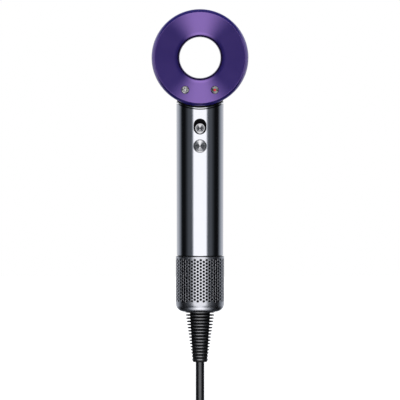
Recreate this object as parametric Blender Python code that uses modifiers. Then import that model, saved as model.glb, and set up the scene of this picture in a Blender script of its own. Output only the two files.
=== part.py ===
"""Hand-held hair dryer with a ring-shaped head, a metal tube handle and a mains cord.

The origin is the middle of the hand grip on the handle's axis. +Z runs up the handle to the head,
-Y is the back of the dryer, where the buttons are, and the air leaves the head towards +Y.
All the dimensions below are in millimetres, and the objects are built in metres.
"""

import math

import bmesh
import bpy
from mathutils import Matrix, Vector

MM = 0.001

# Head: a ring whose axis runs along Y
HEAD_Z = 110.0
HEAD_RADIUS = 39.0
HEAD_WALL = 2.0
HEAD_BACK = -40.0
HEAD_FRONT = 57.0
BORE_RADIUS = 16.75
BORE_WALL = 1.5
COVER_EDGE = -27.0
COVER_LIP = -20.3
OUTLET_RING_BACK = 50.3
OUTLET_SLOT_RADIUS = 21.5
FACE_SLOPE = math.radians(21.5)

# Buttons on the back face of the head
FACE_BUTTON_X = 11.9
FACE_BUTTON_DROP = 25.9
FACE_BUTTON_RADIUS = 2.95
FACE_BUTTON_HOLE = 3.25
FACE_BUTTON_SURFACE = -36.85

# Handle: a tube along Z with a saddle-shaped top
TUBE_RADIUS_TOP = 19.1
TUBE_RADIUS_BOTTOM = 18.8
TUBE_WALL = 1.2
TUBE_BOTTOM = -50.4
SADDLE_RADIUS = 41.7
COLLAR_SADDLE = 40.4
COLLAR_HEIGHT = 0.8
NECK_SADDLE = 39.3
NECK_BORE = 14.8

# Controls on the handle
SLIDER_Z = 54.4
SLIDER_SLOT_WIDTH = 10.4
SLIDER_SLOT_HEIGHT = 12.9
SLIDER_RADIUS = 4.75
SLIDER_REST_Z = 53.05
COOL_Z = 38.6
COOL_RADIUS = 5.05
COOL_HOLE = 5.4

# Motor inside the handle
MOTOR_RADIUS = 16.2
MOTOR_BOTTOM = -30.0
MOTOR_TOP = 2.0
IMPELLER_BLADES = 13
IMPELLER_RADIUS = 13.6

# Air inlet at the bottom of the handle
CAGE_RADIUS = 19.5
CAGE_INNER = 18.7
CAGE_TOP = -51.0
CAGE_HOLES_TOP = -52.6
CAGE_HOLES_BOTTOM = -89.1
CAGE_BOTTOM = -96.0
CAGE_OPENING = 12.75
CAGE_COLUMNS = 18
CAGE_ROWS = 6
CAGE_HOLE_RADIUS = 1.9
FRAME_RADIUS = 16.2

# Cord
CORD_RADIUS = 3.5
CORD_HOLE = 3.8
RELIEF_TOP = -95.9
RELIEF_BOTTOM = -137.0
RELIEF_FINS = 16
HANK_TOP = -186.0
HANK_LENGTH = 165.4
HANK_HALF_WIDTH = 31.7
HANK_DEPTH = 36.0
HANK_BAND = 14.2
HANK_Y = 14.4
TAIL_Y = 14.4
HANK_PINCH = 10.0
PLUG_TOP = -376.0
PLUG_FACE = -429.0
PIN_SPACING = 19.0
PIN_LENGTH = 19.0


def clear_scene():
    for obj in list(bpy.data.objects):
        bpy.data.objects.remove(obj)


def new_collection(name):
    group = bpy.data.collections.new(name)
    bpy.context.scene.collection.children.link(group)
    return group


def material(name, colour, metallic, roughness):
    surface = bpy.data.materials.new(name)
    surface.use_nodes = True
    shader = surface.node_tree.nodes["Principled BSDF"]
    shader.inputs["Base Color"].default_value = (*colour, 1.0)
    shader.inputs["Metallic"].default_value = metallic
    shader.inputs["Roughness"].default_value = roughness
    surface.diffuse_color = (*colour, 1.0)
    return surface


def facing(direction):
    """The rotation that turns local Z towards the direction and keeps local Y as upright as it can be."""
    ahead = Vector(direction).normalized()
    upright = Vector((0.0, 0.0, 1.0))
    if abs(ahead.dot(upright)) > 0.999:
        upright = Vector((0.0, 1.0, 0.0))
    right = upright.cross(ahead).normalized()
    above = ahead.cross(right)
    return Matrix((right, above, ahead)).transposed().to_4x4()


ALONG_HEAD = facing((0.0, 1.0, 0.0))
FACING_BACK = facing((0.0, -1.0, 0.0))
UPRIGHT = Matrix.Identity(4)


def place(obj, turn, at, surface):
    """Put the object at a point in millimetres, as a named part if it has a material or else as a cutter."""
    obj.matrix_world = Matrix.Translation(Vector(at) * MM) @ turn
    if surface is None:
        CUTTERS.objects.link(obj)
        obj.hide_render = True
        obj.display_type = "WIRE"
    else:
        PARTS.objects.link(obj)
        obj.data.materials.append(surface)
    return obj


def turned(name, profile, surface, turn=UPRIGHT, at=(0.0, 0.0, 0.0), steps=28, ring=True):
    """A turned piece: the profile holds (radius, height) pairs and runs down the outer side first."""
    mesh = bpy.data.meshes.new(name)
    points = [(radius * MM, 0.0, height * MM) for radius, height in profile]
    edges = [(i, i + 1) for i in range(len(points) - 1)]
    if ring:
        edges.append((len(points) - 1, 0))
    mesh.from_pydata(points, edges, [])
    obj = place(bpy.data.objects.new(name, mesh), turn, at, surface)
    screw = obj.modifiers.new("turn", "SCREW")
    screw.axis = "Z"
    screw.angle = math.tau
    screw.steps = steps
    screw.render_steps = steps
    screw.use_merge_vertices = True
    screw.merge_threshold = 0.00001
    screw.use_normal_calculate = False
    return obj


def tube(name, outer, inner, bottom, top, surface, turn=UPRIGHT, at=(0.0, 0.0, 0.0), steps=28):
    profile = [(outer, top), (outer, bottom), (inner, bottom), (inner, top)]
    return turned(name, profile, surface, turn, at, steps)


def rod(name, radius, bottom, top, surface, turn=UPRIGHT, at=(0.0, 0.0, 0.0), steps=28):
    profile = [(0.0, top), (radius, top), (radius, bottom), (0.0, bottom)]
    return turned(name, profile, surface, turn, at, steps, ring=False)


def block(name, size, at, surface, bevel=0.0):
    mesh = bpy.data.meshes.new(name)
    shape = bmesh.new()
    bmesh.ops.create_cube(shape, size=1.0)
    bmesh.ops.scale(shape, vec=Vector(size) * MM, verts=shape.verts)
    shape.to_mesh(mesh)
    shape.free()
    obj = place(bpy.data.objects.new(name, mesh), UPRIGHT, at, surface)
    if bevel:
        edge = obj.modifiers.new("edges", "BEVEL")
        edge.width = bevel * MM
        edge.segments = 2
    return obj


def plate(name, outlines, thickness, surface, turn=UPRIGHT, at=(0.0, 0.0, 0.0)):
    """A flat piece with closed outlines in its local XY plane, and its thickness centred on that plane."""
    curve = bpy.data.curves.new(name, "CURVE")
    curve.dimensions = "2D"
    curve.fill_mode = "BOTH"
    curve.extrude = thickness * MM / 2
    for outline in outlines:
        spline = curve.splines.new("POLY")
        spline.points.add(len(outline) - 1)
        for point, (x, y) in zip(spline.points, outline):
            point.co = (x * MM, y * MM, 0.0, 1.0)
        spline.use_cyclic_u = True
    return place(bpy.data.objects.new(name, curve), turn, at, surface)


def wire(name, path, radius, surface, resolution=1):
    curve = bpy.data.curves.new(name, "CURVE")
    curve.dimensions = "3D"
    curve.bevel_depth = radius * MM
    curve.bevel_resolution = resolution
    curve.use_fill_caps = True
    spline = curve.splines.new("POLY")
    spline.points.add(len(path) - 1)
    for point, (x, y, z) in zip(spline.points, path):
        point.co = (x * MM, y * MM, z * MM, 1.0)
    return place(bpy.data.objects.new(name, curve), UPRIGHT, (0.0, 0.0, 0.0), surface)


def as_mesh(obj):
    """Turn a curve object into a mesh object of the same name, so that it can be cut or can cut."""
    name = obj.name
    group = obj.users_collection[0]
    cutter = obj.hide_render
    graph = bpy.context.evaluated_depsgraph_get()
    mesh = bpy.data.meshes.new_from_object(obj.evaluated_get(graph))
    where = obj.matrix_world.copy()
    bpy.data.objects.remove(obj)
    shape = bmesh.new()
    shape.from_mesh(mesh)
    bmesh.ops.remove_doubles(shape, verts=shape.verts, dist=0.000001)
    bmesh.ops.recalc_face_normals(shape, faces=shape.faces)
    shape.to_mesh(mesh)
    shape.free()
    mesh.name = name
    copy = bpy.data.objects.new(name, mesh)
    group.objects.link(copy)
    copy.matrix_world = where
    copy.hide_render = cutter
    copy.display_type = "WIRE" if cutter else "TEXTURED"
    return copy


def shape_with(target, cutter, operation="DIFFERENCE"):
    change = target.modifiers.new(cutter.name, "BOOLEAN")
    change.solver = "EXACT"
    change.operation = operation
    change.object = cutter


def polar(radius, degrees):
    angle = math.radians(degrees)
    return (radius * math.cos(angle), radius * math.sin(angle))


def circle(radius, count, centre=(0.0, 0.0)):
    spots = [polar(radius, 360.0 * i / count) for i in range(count)]
    return [(centre[0] + x, centre[1] + y) for x, y in spots]


def sector(inner, outer, start, end, count=8):
    """The outline of a part of a ring between two angles in degrees."""
    angles = [start + (end - start) * i / count for i in range(count + 1)]
    return [polar(outer, a) for a in angles] + [polar(inner, a) for a in reversed(angles)]


def obround(width, height, count=10):
    """An upright outline with straight sides and round ends."""
    radius = width / 2
    rise = height / 2 - radius
    top = [polar(radius, 180.0 * i / count) for i in range(count + 1)]
    bottom = [polar(radius, 180.0 + 180.0 * i / count) for i in range(count + 1)]
    return [(x, y + rise) for x, y in top] + [(x, y - rise) for x, y in bottom]


def vaned_outline(hub, tip, vanes, half_width):
    """A hub circle with straight vanes that stand out from it to the tip radius."""
    outline = []
    for i in range(vanes):
        middle = 360.0 * i / vanes
        root = math.degrees(math.asin(half_width / hub))
        end = math.degrees(math.asin(half_width / tip))
        outline.append(polar(hub, middle - root))
        outline.append(polar(tip, middle - end))
        outline.append(polar(tip, middle + end))
        outline.append(polar(hub, middle + root))
        outline.append(polar(hub, middle + 180.0 / vanes))
    return outline


# ---------------------------------------------------------------- head


def face_spot(side):
    """The place of a button on the back face: side is -1 for the left one and +1 for the right one."""
    return (side * FACE_BUTTON_X, HEAD_Z - FACE_BUTTON_DROP)


def face_normal(side):
    """The direction out of the sloping back face at a button."""
    inward = Vector((-side * FACE_BUTTON_X, 0.0, FACE_BUTTON_DROP)).normalized()
    return Vector((0.0, -math.cos(FACE_SLOPE), 0.0)) + inward * math.sin(FACE_SLOPE)


def rear_cover(surface):
    """The dished back of the head: skirt, rounded rim, sloping face and the shoulder into the bore."""
    profile = [
        (HEAD_RADIUS, COVER_EDGE),
        (HEAD_RADIUS, -30.0),
        (38.84, -32.6),
        (38.35, -35.1),
        (37.6, -37.6),
        (36.5, HEAD_BACK),
        (36.2, -39.9),
        (21.8, -34.2),
        (20.2, -33.3),
        (19.0, -32.1),
        (18.0, -30.5),
        (17.2, -28.3),
        (BORE_RADIUS, -25.5),
        (BORE_RADIUS, COVER_LIP),
        (BORE_RADIUS + BORE_WALL, COVER_LIP),
        (18.7, -25.0),
        (19.5, -28.6),
        (22.4, -32.2),
        (35.4, -37.4),
        (36.6, -36.8),
        (37.0, -35.6),
        (HEAD_RADIUS - HEAD_WALL, COVER_EDGE),
    ]
    cover = turned("rear_cover", profile, surface, ALONG_HEAD, (0.0, 0.0, HEAD_Z), steps=48)
    for side, label in ((-1, "left"), (1, "right")):
        x, z = face_spot(side)
        hole = rod("cut_button_" + label, FACE_BUTTON_HOLE, -42.0, -30.0, None, ALONG_HEAD, (x, 0.0, z), 24)
        shape_with(cover, hole)


def barrel_shell(surface):
    """The outer tube of the head, with the opening that lets the air in from the handle."""
    back = COVER_EDGE + 0.3
    front = OUTLET_RING_BACK - 0.3
    inner = HEAD_RADIUS - HEAD_WALL
    barrel = tube("barrel_shell", HEAD_RADIUS, inner, back, front, surface, ALONG_HEAD, (0, 0, HEAD_Z), 48)
    shape_with(barrel, rod("cut_neck_air", NECK_BORE - 0.3, 55.0, 90.0, None, steps=32))


def bore_liner(surface):
    profile = [
        (17.3, 55.5),
        (BORE_RADIUS + BORE_WALL, 53.0),
        (BORE_RADIUS + BORE_WALL, COVER_LIP + 0.3),
        (BORE_RADIUS, COVER_LIP + 0.3),
        (BORE_RADIUS, 55.2),
    ]
    turned("bore_liner", profile, surface, ALONG_HEAD, (0.0, 0.0, HEAD_Z), steps=48)


def outlet_ring(surface):
    """The flat front ring that nozzles and diffusers hold on to, with a channel behind it for the magnets."""
    profile = [
        (37.6, HEAD_FRONT),
        (38.6, 56.5),
        (HEAD_RADIUS, 55.5),
        (HEAD_RADIUS, OUTLET_RING_BACK),
        (36.2, OUTLET_RING_BACK),
        (36.2, 53.8),
        (29.8, 53.8),
        (29.8, OUTLET_RING_BACK),
        (22.8, OUTLET_RING_BACK),
        (OUTLET_SLOT_RADIUS, 51.5),
        (OUTLET_SLOT_RADIUS, 55.8),
        (22.7, HEAD_FRONT),
    ]
    turned("outlet_ring", profile, surface, ALONG_HEAD, (0.0, 0.0, HEAD_Z), steps=48)


def heater(former, wire_metal, mica, fuse, glass):
    """The heating element: a vaned former, the wound wire, its mica sleeve, the fuse and the thermistor."""
    centre = (0.0, 24.0, HEAD_Z)
    plate("heater_former", [vaned_outline(21.6, 30.0, 12, 0.6), circle(20.4, 24)], 32.0, former, ALONG_HEAD, centre)
    turns, count = 6, 16
    path = []
    for i in range(turns * count + 1):
        x, z = polar(31.4, 360.0 * i / count)
        path.append((x, 11.0 + 26.0 * i / (turns * count), HEAD_Z + z))
    wire("heater_coil", path, 0.55, wire_metal)
    tube("mica_sleeve", 33.8, 33.2, 6.0, 43.0, mica, ALONG_HEAD, (0.0, 0.0, HEAD_Z), 32)
    x, z = polar(25.6, 45.0)
    rod("thermal_fuse", 1.6, 12.0, 24.0, fuse, ALONG_HEAD, (x, 0.0, HEAD_Z + z), 12)
    x, z = polar(26.0, 75.0)
    bead = [(0.0, 44.0), (0.8, 43.7), (1.2, 43.0), (1.2, 42.0), (0.8, 41.3), (0.0, 41.0)]
    turned("thermistor", bead, glass, ALONG_HEAD, (x, 0.0, HEAD_Z + z), 12, ring=False)


def outlet_parts(plastic, magnet):
    funnel = [(34.2, 43.6), (34.2, 44.8), (22.6, 50.0), (21.8, 49.4), (33.0, 43.6)]
    turned("outlet_funnel", list(reversed(funnel)), plastic, ALONG_HEAD, (0.0, 0.0, HEAD_Z), 32)
    tube("attachment_magnets", 35.8, 30.2, 50.7, 53.4, magnet, ALONG_HEAD, (0.0, 0.0, HEAD_Z), 32)


def press_switch(name, at, reach, surface):
    """A small square switch that faces back, with a round plunger that reaches further back."""
    x, y, z = at
    body = block(name, (5.2, 2.2, 5.2), (x, y - 1.1, z), surface)
    plunger = rod("join_" + name, 1.3, y - 2.2 - reach, y - 1.0, None, ALONG_HEAD, (x, 0.0, z), 12)
    shape_with(body, plunger, "UNION")


def head_controls(board, plastic, metal, icon, lens):
    """The two buttons on the back face, the marks on them, and the switches and board behind them."""
    plate("head_circuit_board", [sector(19.6, 35.6, 215.0, 325.0, 20)], 1.2, board, FACING_BACK, (0, -25.4, HEAD_Z))
    for side, label in ((-1, "airflow"), (1, "heat")):
        x, z = face_spot(side)
        press_switch(label + "_switch", (x, -26.3, z), 0.7, plastic)
        profile = [
            (0.0, -30.0),
            (1.2, -30.0),
            (1.2, -31.4),
            (3.9, -31.4),
            (3.9, -32.2),
            (FACE_BUTTON_RADIUS, -32.2),
            (FACE_BUTTON_RADIUS, -39.0),
            (0.0, -39.0),
        ]
        button = turned(label + "_button", profile, metal, ALONG_HEAD, (x, 0.0, z), 24, ring=False)
        normal = face_normal(side)
        spot = Vector((x, FACE_BUTTON_SURFACE, z))
        trim = block("cut_" + label + "_face", (20.0, 20.0, 10.0), (0.0, 0.0, 0.0), None)
        trim.matrix_world = Matrix.Translation((spot + normal * 5.0) * MM) @ facing(normal)
        shape_with(button, trim)
        above = spot + normal * 0.16
        if side < 0:
            plate("airflow_mark", [fan_outline()], 0.2, icon, facing(normal), above)
        else:
            dot = [(0.0, 0.35), (0.7, 0.25), (1.1, 0.0), (1.1, -0.1), (0.0, -0.1)]
            turned("heat_mark", dot, lens, facing(normal), above, 20, ring=False)


def fan_outline():
    """Three fan blades that meet in a small hub, as one closed outline."""
    blade = [(0.35, 205.0), (1.2, 165.0), (2.1, 150.0), (2.3, 125.0), (2.3, 100.0), (1.85, 78.0), (0.9, 88.0)]
    outline = []
    for turn in (0.0, -120.0, -240.0):
        outline += [polar(radius, angle + turn) for radius, angle in blade]
    return outline


# ---------------------------------------------------------------- handle


def saddle(name, radius):
    """A cutter concentric with the head that leaves what is further out than the radius."""
    return rod(name, radius, -60.0, 60.0, None, ALONG_HEAD, (0.0, 0.0, HEAD_Z), 72)


def neck(plastic, rubber, metal):
    """The spigot between head and handle, the gasket around it, and the bright collar under the gasket."""
    core = tube("neck_core", 17.3, NECK_BORE, 62.0, 84.0, plastic)
    shape_with(core, saddle("cut_core_top", NECK_SADDLE))
    for name, outer, top, bottom, surface in (
        ("neck_gasket", 18.7, NECK_SADDLE, COLLAR_SADDLE - 0.2, rubber),
        ("neck_collar", TUBE_RADIUS_TOP, COLLAR_SADDLE, COLLAR_SADDLE + COLLAR_HEIGHT, metal),
    ):
        band = tube(name, outer, 17.6, 60.0, 84.0, surface)
        shape_with(band, saddle("cut_" + name + "_top", top))
        keep = saddle("keep_" + name, bottom)
        shape_with(band, keep, "INTERSECT")


def handle_tube(surface):
    profile = [
        (TUBE_RADIUS_TOP, 84.0),
        (TUBE_RADIUS_BOTTOM, TUBE_BOTTOM + 0.4),
        (TUBE_RADIUS_BOTTOM - 0.4, TUBE_BOTTOM),
        (TUBE_RADIUS_BOTTOM - TUBE_WALL, TUBE_BOTTOM),
        (TUBE_RADIUS_TOP - TUBE_WALL, 84.0),
    ]
    handle = turned("handle_tube", profile, surface, steps=48)
    shape_with(handle, saddle("cut_saddle", SADDLE_RADIUS))
    slot = plate("cut_slider_slot", [obround(SLIDER_SLOT_WIDTH, SLIDER_SLOT_HEIGHT)], 14.0, None, FACING_BACK)
    slot.location = Vector((0.0, -19.0, SLIDER_Z)) * MM
    bpy.context.view_layer.update()
    shape_with(handle, as_mesh(slot))
    shape_with(handle, rod("cut_cool_hole", COOL_HOLE, -26.0, -12.0, None, ALONG_HEAD, (0, 0, COOL_Z), 32))


def handle_controls(metal, plastic, board):
    """The sliding power switch, the round cool button, and the switches and board behind them."""
    slider = [
        (0.0, -12.7),
        (1.3, -12.7),
        (1.3, -16.4),
        (SLIDER_RADIUS, -16.4),
        (SLIDER_RADIUS, -19.5),
        (SLIDER_RADIUS - 0.4, -19.9),
        (2.0, -19.6),
        (0.0, -19.5),
    ]
    turned("power_slider", slider, metal, ALONG_HEAD, (0.0, 0.0, SLIDER_REST_Z), 28, ring=False)
    track = [obround(12.6, 15.2), obround(3.4, 6.8, 6)]
    plate("slider_track", track, 0.9, plastic, FACING_BACK, (0.0, -15.5, SLIDER_Z))
    block("slide_switch", (7.0, 3.6, 9.0), (0.0, -10.3, SLIDER_Z), plastic, 0.3)
    cool = [
        (0.0, -13.2),
        (1.5, -13.2),
        (1.5, -14.8),
        (5.9, -14.8),
        (5.9, -15.7),
        (COOL_RADIUS, -15.7),
        (COOL_RADIUS, -19.2),
        (COOL_RADIUS - 0.4, -19.6),
        (2.0, -19.3),
        (0.0, -19.2),
    ]
    turned("cool_shot_button", cool, metal, ALONG_HEAD, (0.0, 0.0, COOL_Z), 28, ring=False)
    press_switch("cool_shot_switch", (0.0, -8.3, COOL_Z), 1.3, plastic)
    block("controls_board", (22.0, 1.2, 33.0), (0.0, -7.4, 47.5), board)


def power_electronics(board, capacitor, lead):
    block("power_board", (26.0, 1.6, 46.0), (0.0, 7.0, 35.0), board)
    rod("board_capacitor", 4.0, 26.0, 42.0, capacitor, UPRIGHT, (4.0, 1.9, 0.0), 20)
    for side, label in ((-1, "left"), (1, "right")):
        x = side * 7.0
        path = [(x, 4.5, 50.0), (x, 4.5, 60.0), (x, 2.0, 70.0), (x, 1.0, 80.0), (x, 2.5, 85.0), (x, 7.3, 86.0)]
        wire("heater_lead_" + label, path, 0.8, lead)


# ---------------------------------------------------------------- motor


def spider(name, bottom, surface):
    """A ring with five windows between its spokes and a hole for the bearing."""
    windows = [sector(5.4, 13.0, 72.0 * i + 9.0, 72.0 * i + 63.0, 3) for i in range(5)]
    plate(name, [circle(14.8, 28), circle(3.5, 12)] + windows, 3.0, surface, UPRIGHT, (0.0, 0.0, bottom + 1.5))


def impeller_outline():
    """Curved blades that lean back from the hub to the tip."""
    outline = []
    for i in range(IMPELLER_BLADES):
        start = 360.0 * i / IMPELLER_BLADES
        outline += [polar(6.0, start), polar(9.5, start + 9.0), polar(IMPELLER_RADIUS, start + 24.0)]
        outline += [polar(IMPELLER_RADIUS, start + 28.0), polar(9.5, start + 15.0), polar(6.0, start + 9.0)]
    return outline


def motor(can, rubber, core, plastic, steel, magnet):
    """The small fast motor: its can in two rubber mounts, stator, spiders, bearings and the turning parts."""
    tube("motor_bucket", MOTOR_RADIUS, 15.2, MOTOR_BOTTOM, MOTOR_TOP, can)
    tube("lower_motor_mount", 17.3, 16.5, -28.0, -23.0, rubber)
    tube("upper_motor_mount", 17.3, 16.5, -6.0, -1.0, rubber)
    teeth = vaned_outline(10.4, 5.8, 4, 2.2)
    plate("stator", [circle(14.6, 28), teeth], 11.0, core, UPRIGHT, (0.0, 0.0, -9.7))
    spider("lower_spider", -20.2, plastic)
    spider("upper_spider", -2.8, plastic)
    tube("lower_bearing", 3.2, 1.9, -20.0, -17.6, steel, steps=20)
    tube("upper_bearing", 3.2, 1.9, -2.6, -0.2, steel, steps=20)
    rod("rotor_shaft", 1.6, -31.0, 1.5, steel, steps=16)
    tube("rotor_magnet", 5.3, 1.9, -15.0, -4.4, magnet, steps=24)
    plate("impeller", [impeller_outline(), circle(1.9, 16)], 7.6, can, UPRIGHT, (0.0, 0.0, -24.8))


# ---------------------------------------------------------------- air inlet


def inlet_frame(surface):
    """The inner frame that carries the filter and the cord, with eight tall windows for the air."""
    profile = [
        (17.2, -49.2),
        (17.2, -51.1),
        (FRAME_RADIUS, -51.1),
        (FRAME_RADIUS, -93.0),
        (12.2, -93.0),
        (12.2, -95.6),
        (CORD_HOLE + 0.1, -95.6),
        (CORD_HOLE + 0.1, -91.0),
        (15.0, -91.0),
        (15.0, -49.2),
    ]
    frame = turned("inlet_frame", profile, surface, steps=28)
    for i in range(4):
        window = block("cut_window_%d" % i, (40.0, 7.0, 31.0), (0.0, 0.0, 0.0), None)
        turn = Matrix.Rotation(math.radians(45.0 * i + 22.5), 4, "Z")
        window.matrix_world = Matrix.Translation(Vector((0.0, 0.0, -72.0)) * MM) @ turn
        shape_with(frame, window)


def filter_cage(surface):
    """The perforated sleeve over the inlet: rows of holes, each row shifted by half the space between two."""
    profile = [
        (CAGE_RADIUS - 0.3, CAGE_TOP),
        (CAGE_RADIUS, CAGE_TOP - 0.3),
        (CAGE_RADIUS, -91.2),
        (18.9, -93.6),
        (17.2, -95.3),
        (14.7, CAGE_BOTTOM),
        (CAGE_OPENING, CAGE_BOTTOM),
        (CAGE_OPENING, -95.0),
        (14.6, -95.0),
        (16.6, -94.5),
        (18.1, -93.1),
        (CAGE_INNER, -91.2),
        (CAGE_INNER, CAGE_TOP),
    ]
    cage = turned("filter_cage", profile, surface, steps=2 * CAGE_COLUMNS)
    pegs = bmesh.new()
    pitch = (CAGE_HOLES_TOP - CAGE_HOLES_BOTTOM) / CAGE_ROWS
    length = CAGE_RADIUS - CAGE_INNER + 2.0
    for row in range(CAGE_ROWS):
        height = CAGE_HOLES_TOP - (row + 0.5) * pitch
        for column in range(CAGE_COLUMNS):
            degrees = 360.0 * (column + 0.5 * (row % 2) + 0.25) / CAGE_COLUMNS
            x, y = polar((CAGE_RADIUS + CAGE_INNER) / 2, degrees)
            where = Matrix.Translation(Vector((x, y, height)) * MM) @ facing((x, y, 0.0))
            bmesh.ops.create_cone(
                pegs,
                cap_ends=True,
                segments=6,
                radius1=CAGE_HOLE_RADIUS * MM,
                radius2=CAGE_HOLE_RADIUS * MM,
                depth=length * MM,
                matrix=where,
            )
    mesh = bpy.data.meshes.new("cut_cage_holes")
    pegs.to_mesh(mesh)
    pegs.free()
    shape_with(cage, place(bpy.data.objects.new("cut_cage_holes", mesh), UPRIGHT, (0.0, 0.0, 0.0), None))


def inlet_parts(plastic, mesh_metal, foam, screw_metal):
    """The pieces inside the cage: lock ring, fine filter, foam, and the clamp that holds the cord."""
    tube("filter_lock_ring", 18.4, 17.5, -54.4, -51.4, plastic)
    tube("mesh_filter", 16.95, 16.5, -91.6, -52.0, mesh_metal)
    tube("inlet_foam", 17.2, 13.0, -48.6, -33.0, foam, steps=32)
    clamp = block("cord_clamp", (20.0, 10.0, 7.0), (0.0, 0.0, -84.0), plastic, 0.6)
    shape_with(clamp, rod("cut_clamp_cord", CORD_HOLE, -95.0, -75.0, None, steps=24))
    for side, label in ((-1, "left"), (1, "right")):
        at = (side * 7.4, 0.0, 0.0)
        shape_with(clamp, rod("cut_clamp_" + label, 1.6, -95.0, -75.0, None, UPRIGHT, at, 12))
        screw = [(0.0, -78.6), (2.2, -78.6), (2.4, -79.0), (2.4, -80.2), (1.25, -80.2), (1.25, -90.5), (0.0, -90.5)]
        turned("clamp_screw_" + label, screw, screw_metal, UPRIGHT, at, 12, ring=False)


# ---------------------------------------------------------------- cord


def strain_relief(surface):
    """The tapered sleeve where the cord leaves the handle, with a row of bending fins."""
    profile = []
    pitch = (RELIEF_TOP - RELIEF_BOTTOM) / RELIEF_FINS
    for i in range(RELIEF_FINS):
        top = RELIEF_TOP - i * pitch
        share = i / (RELIEF_FINS - 1)
        fin = 12.0 - 5.6 * share
        core = 8.2 - 2.4 * share
        profile += [(fin, top), (fin, top - 0.42 * pitch)]
        if i < RELIEF_FINS - 1:
            profile += [(core, top - 0.5 * pitch), (core - 0.1, top - 0.95 * pitch)]
    profile += [(5.8, RELIEF_BOTTOM), (CORD_HOLE, RELIEF_BOTTOM), (CORD_HOLE, RELIEF_TOP)]
    turned("strain_relief", profile, surface, steps=20)


def hank_outline(radius):
    """One edge of the tied cord: round ends, and sides that the tie draws in at the middle."""
    half = HANK_LENGTH / 2 - HANK_HALF_WIDTH
    right = []
    for i in range(13):
        z = -half + 2 * half * i / 12
        right.append((radius - HANK_PINCH * (1 + math.cos(math.pi * z / half)) / 2, z))
    top = [polar(radius, 15.0 * i) for i in range(1, 12)]
    top = [(x, z + half) for x, z in top]
    left = [(-x, z) for x, z in reversed(right)]
    bottom = [(-x, -z) for x, z in top]
    return right + top + left + bottom


def cord(rubber, strap, pin_metal):
    """The cord as it hangs: a short straight lead, the tied hank, the tail and the two-pin plug."""
    wire("cord_lead", [(0.0, 0.0, -81.0), (0.0, 0.0, HANK_TOP + 0.3)], CORD_RADIUS, rubber, 4)
    middle = HANK_TOP - HANK_LENGTH / 2
    edges = [hank_outline(HANK_HALF_WIDTH), hank_outline(HANK_HALF_WIDTH - HANK_BAND)]
    plate("cord_hank", edges, HANK_DEPTH, rubber, FACING_BACK, (0.0, HANK_Y, middle))
    inner = HANK_HALF_WIDTH - HANK_PINCH + 1.1
    deep = HANK_DEPTH / 2 + 0.4
    loops = [rounded_box(inner + 1.2, deep + 1.2, 1.8), rounded_box(inner, deep, 0.6)]
    plate("cord_tie", loops, 12.0, strap, UPRIGHT, (0.0, HANK_Y, middle))
    tail_top = HANK_TOP - HANK_LENGTH - 0.3
    wire("cord_tail", [(0.0, TAIL_Y, tail_top), (0.0, TAIL_Y, PLUG_TOP + 0.3)], CORD_RADIUS, rubber, 4)
    profile = [
        (0.0, PLUG_TOP),
        (4.6, PLUG_TOP),
        (5.6, PLUG_TOP - 13.0),
        (7.5, PLUG_TOP - 18.0),
        (13.0, PLUG_TOP - 24.0),
        (16.6, PLUG_TOP - 29.0),
        (17.7, PLUG_TOP - 34.0),
        (17.7, PLUG_FACE + 1.0),
        (17.0, PLUG_FACE),
        (0.0, PLUG_FACE),
    ]
    turned("plug_body", profile, rubber, UPRIGHT, (0.0, TAIL_Y, 0.0), 28, ring=False)
    for side, label in ((-1, "left"), (1, "right")):
        pin = [
            (0.0, PLUG_FACE - 0.3),
            (2.4, PLUG_FACE - 0.3),
            (2.4, PLUG_FACE - PIN_LENGTH + 1.5),
            (1.4, PLUG_FACE - PIN_LENGTH),
            (0.0, PLUG_FACE - PIN_LENGTH),
        ]
        at = (side * PIN_SPACING / 2, TAIL_Y, 0.0)
        turned("plug_pin_" + label, pin, pin_metal, UPRIGHT, at, 16, ring=False)


def rounded_box(half_x, half_y, radius):
    outline = []
    for sign_x, sign_y, start in ((1, 1, 0.0), (-1, 1, 90.0), (-1, -1, 180.0), (1, -1, 270.0)):
        for i in range(5):
            x, y = polar(radius, start + 22.5 * i)
            outline.append((sign_x * (half_x - radius) + x, sign_y * (half_y - radius) + y))
    return outline


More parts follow.
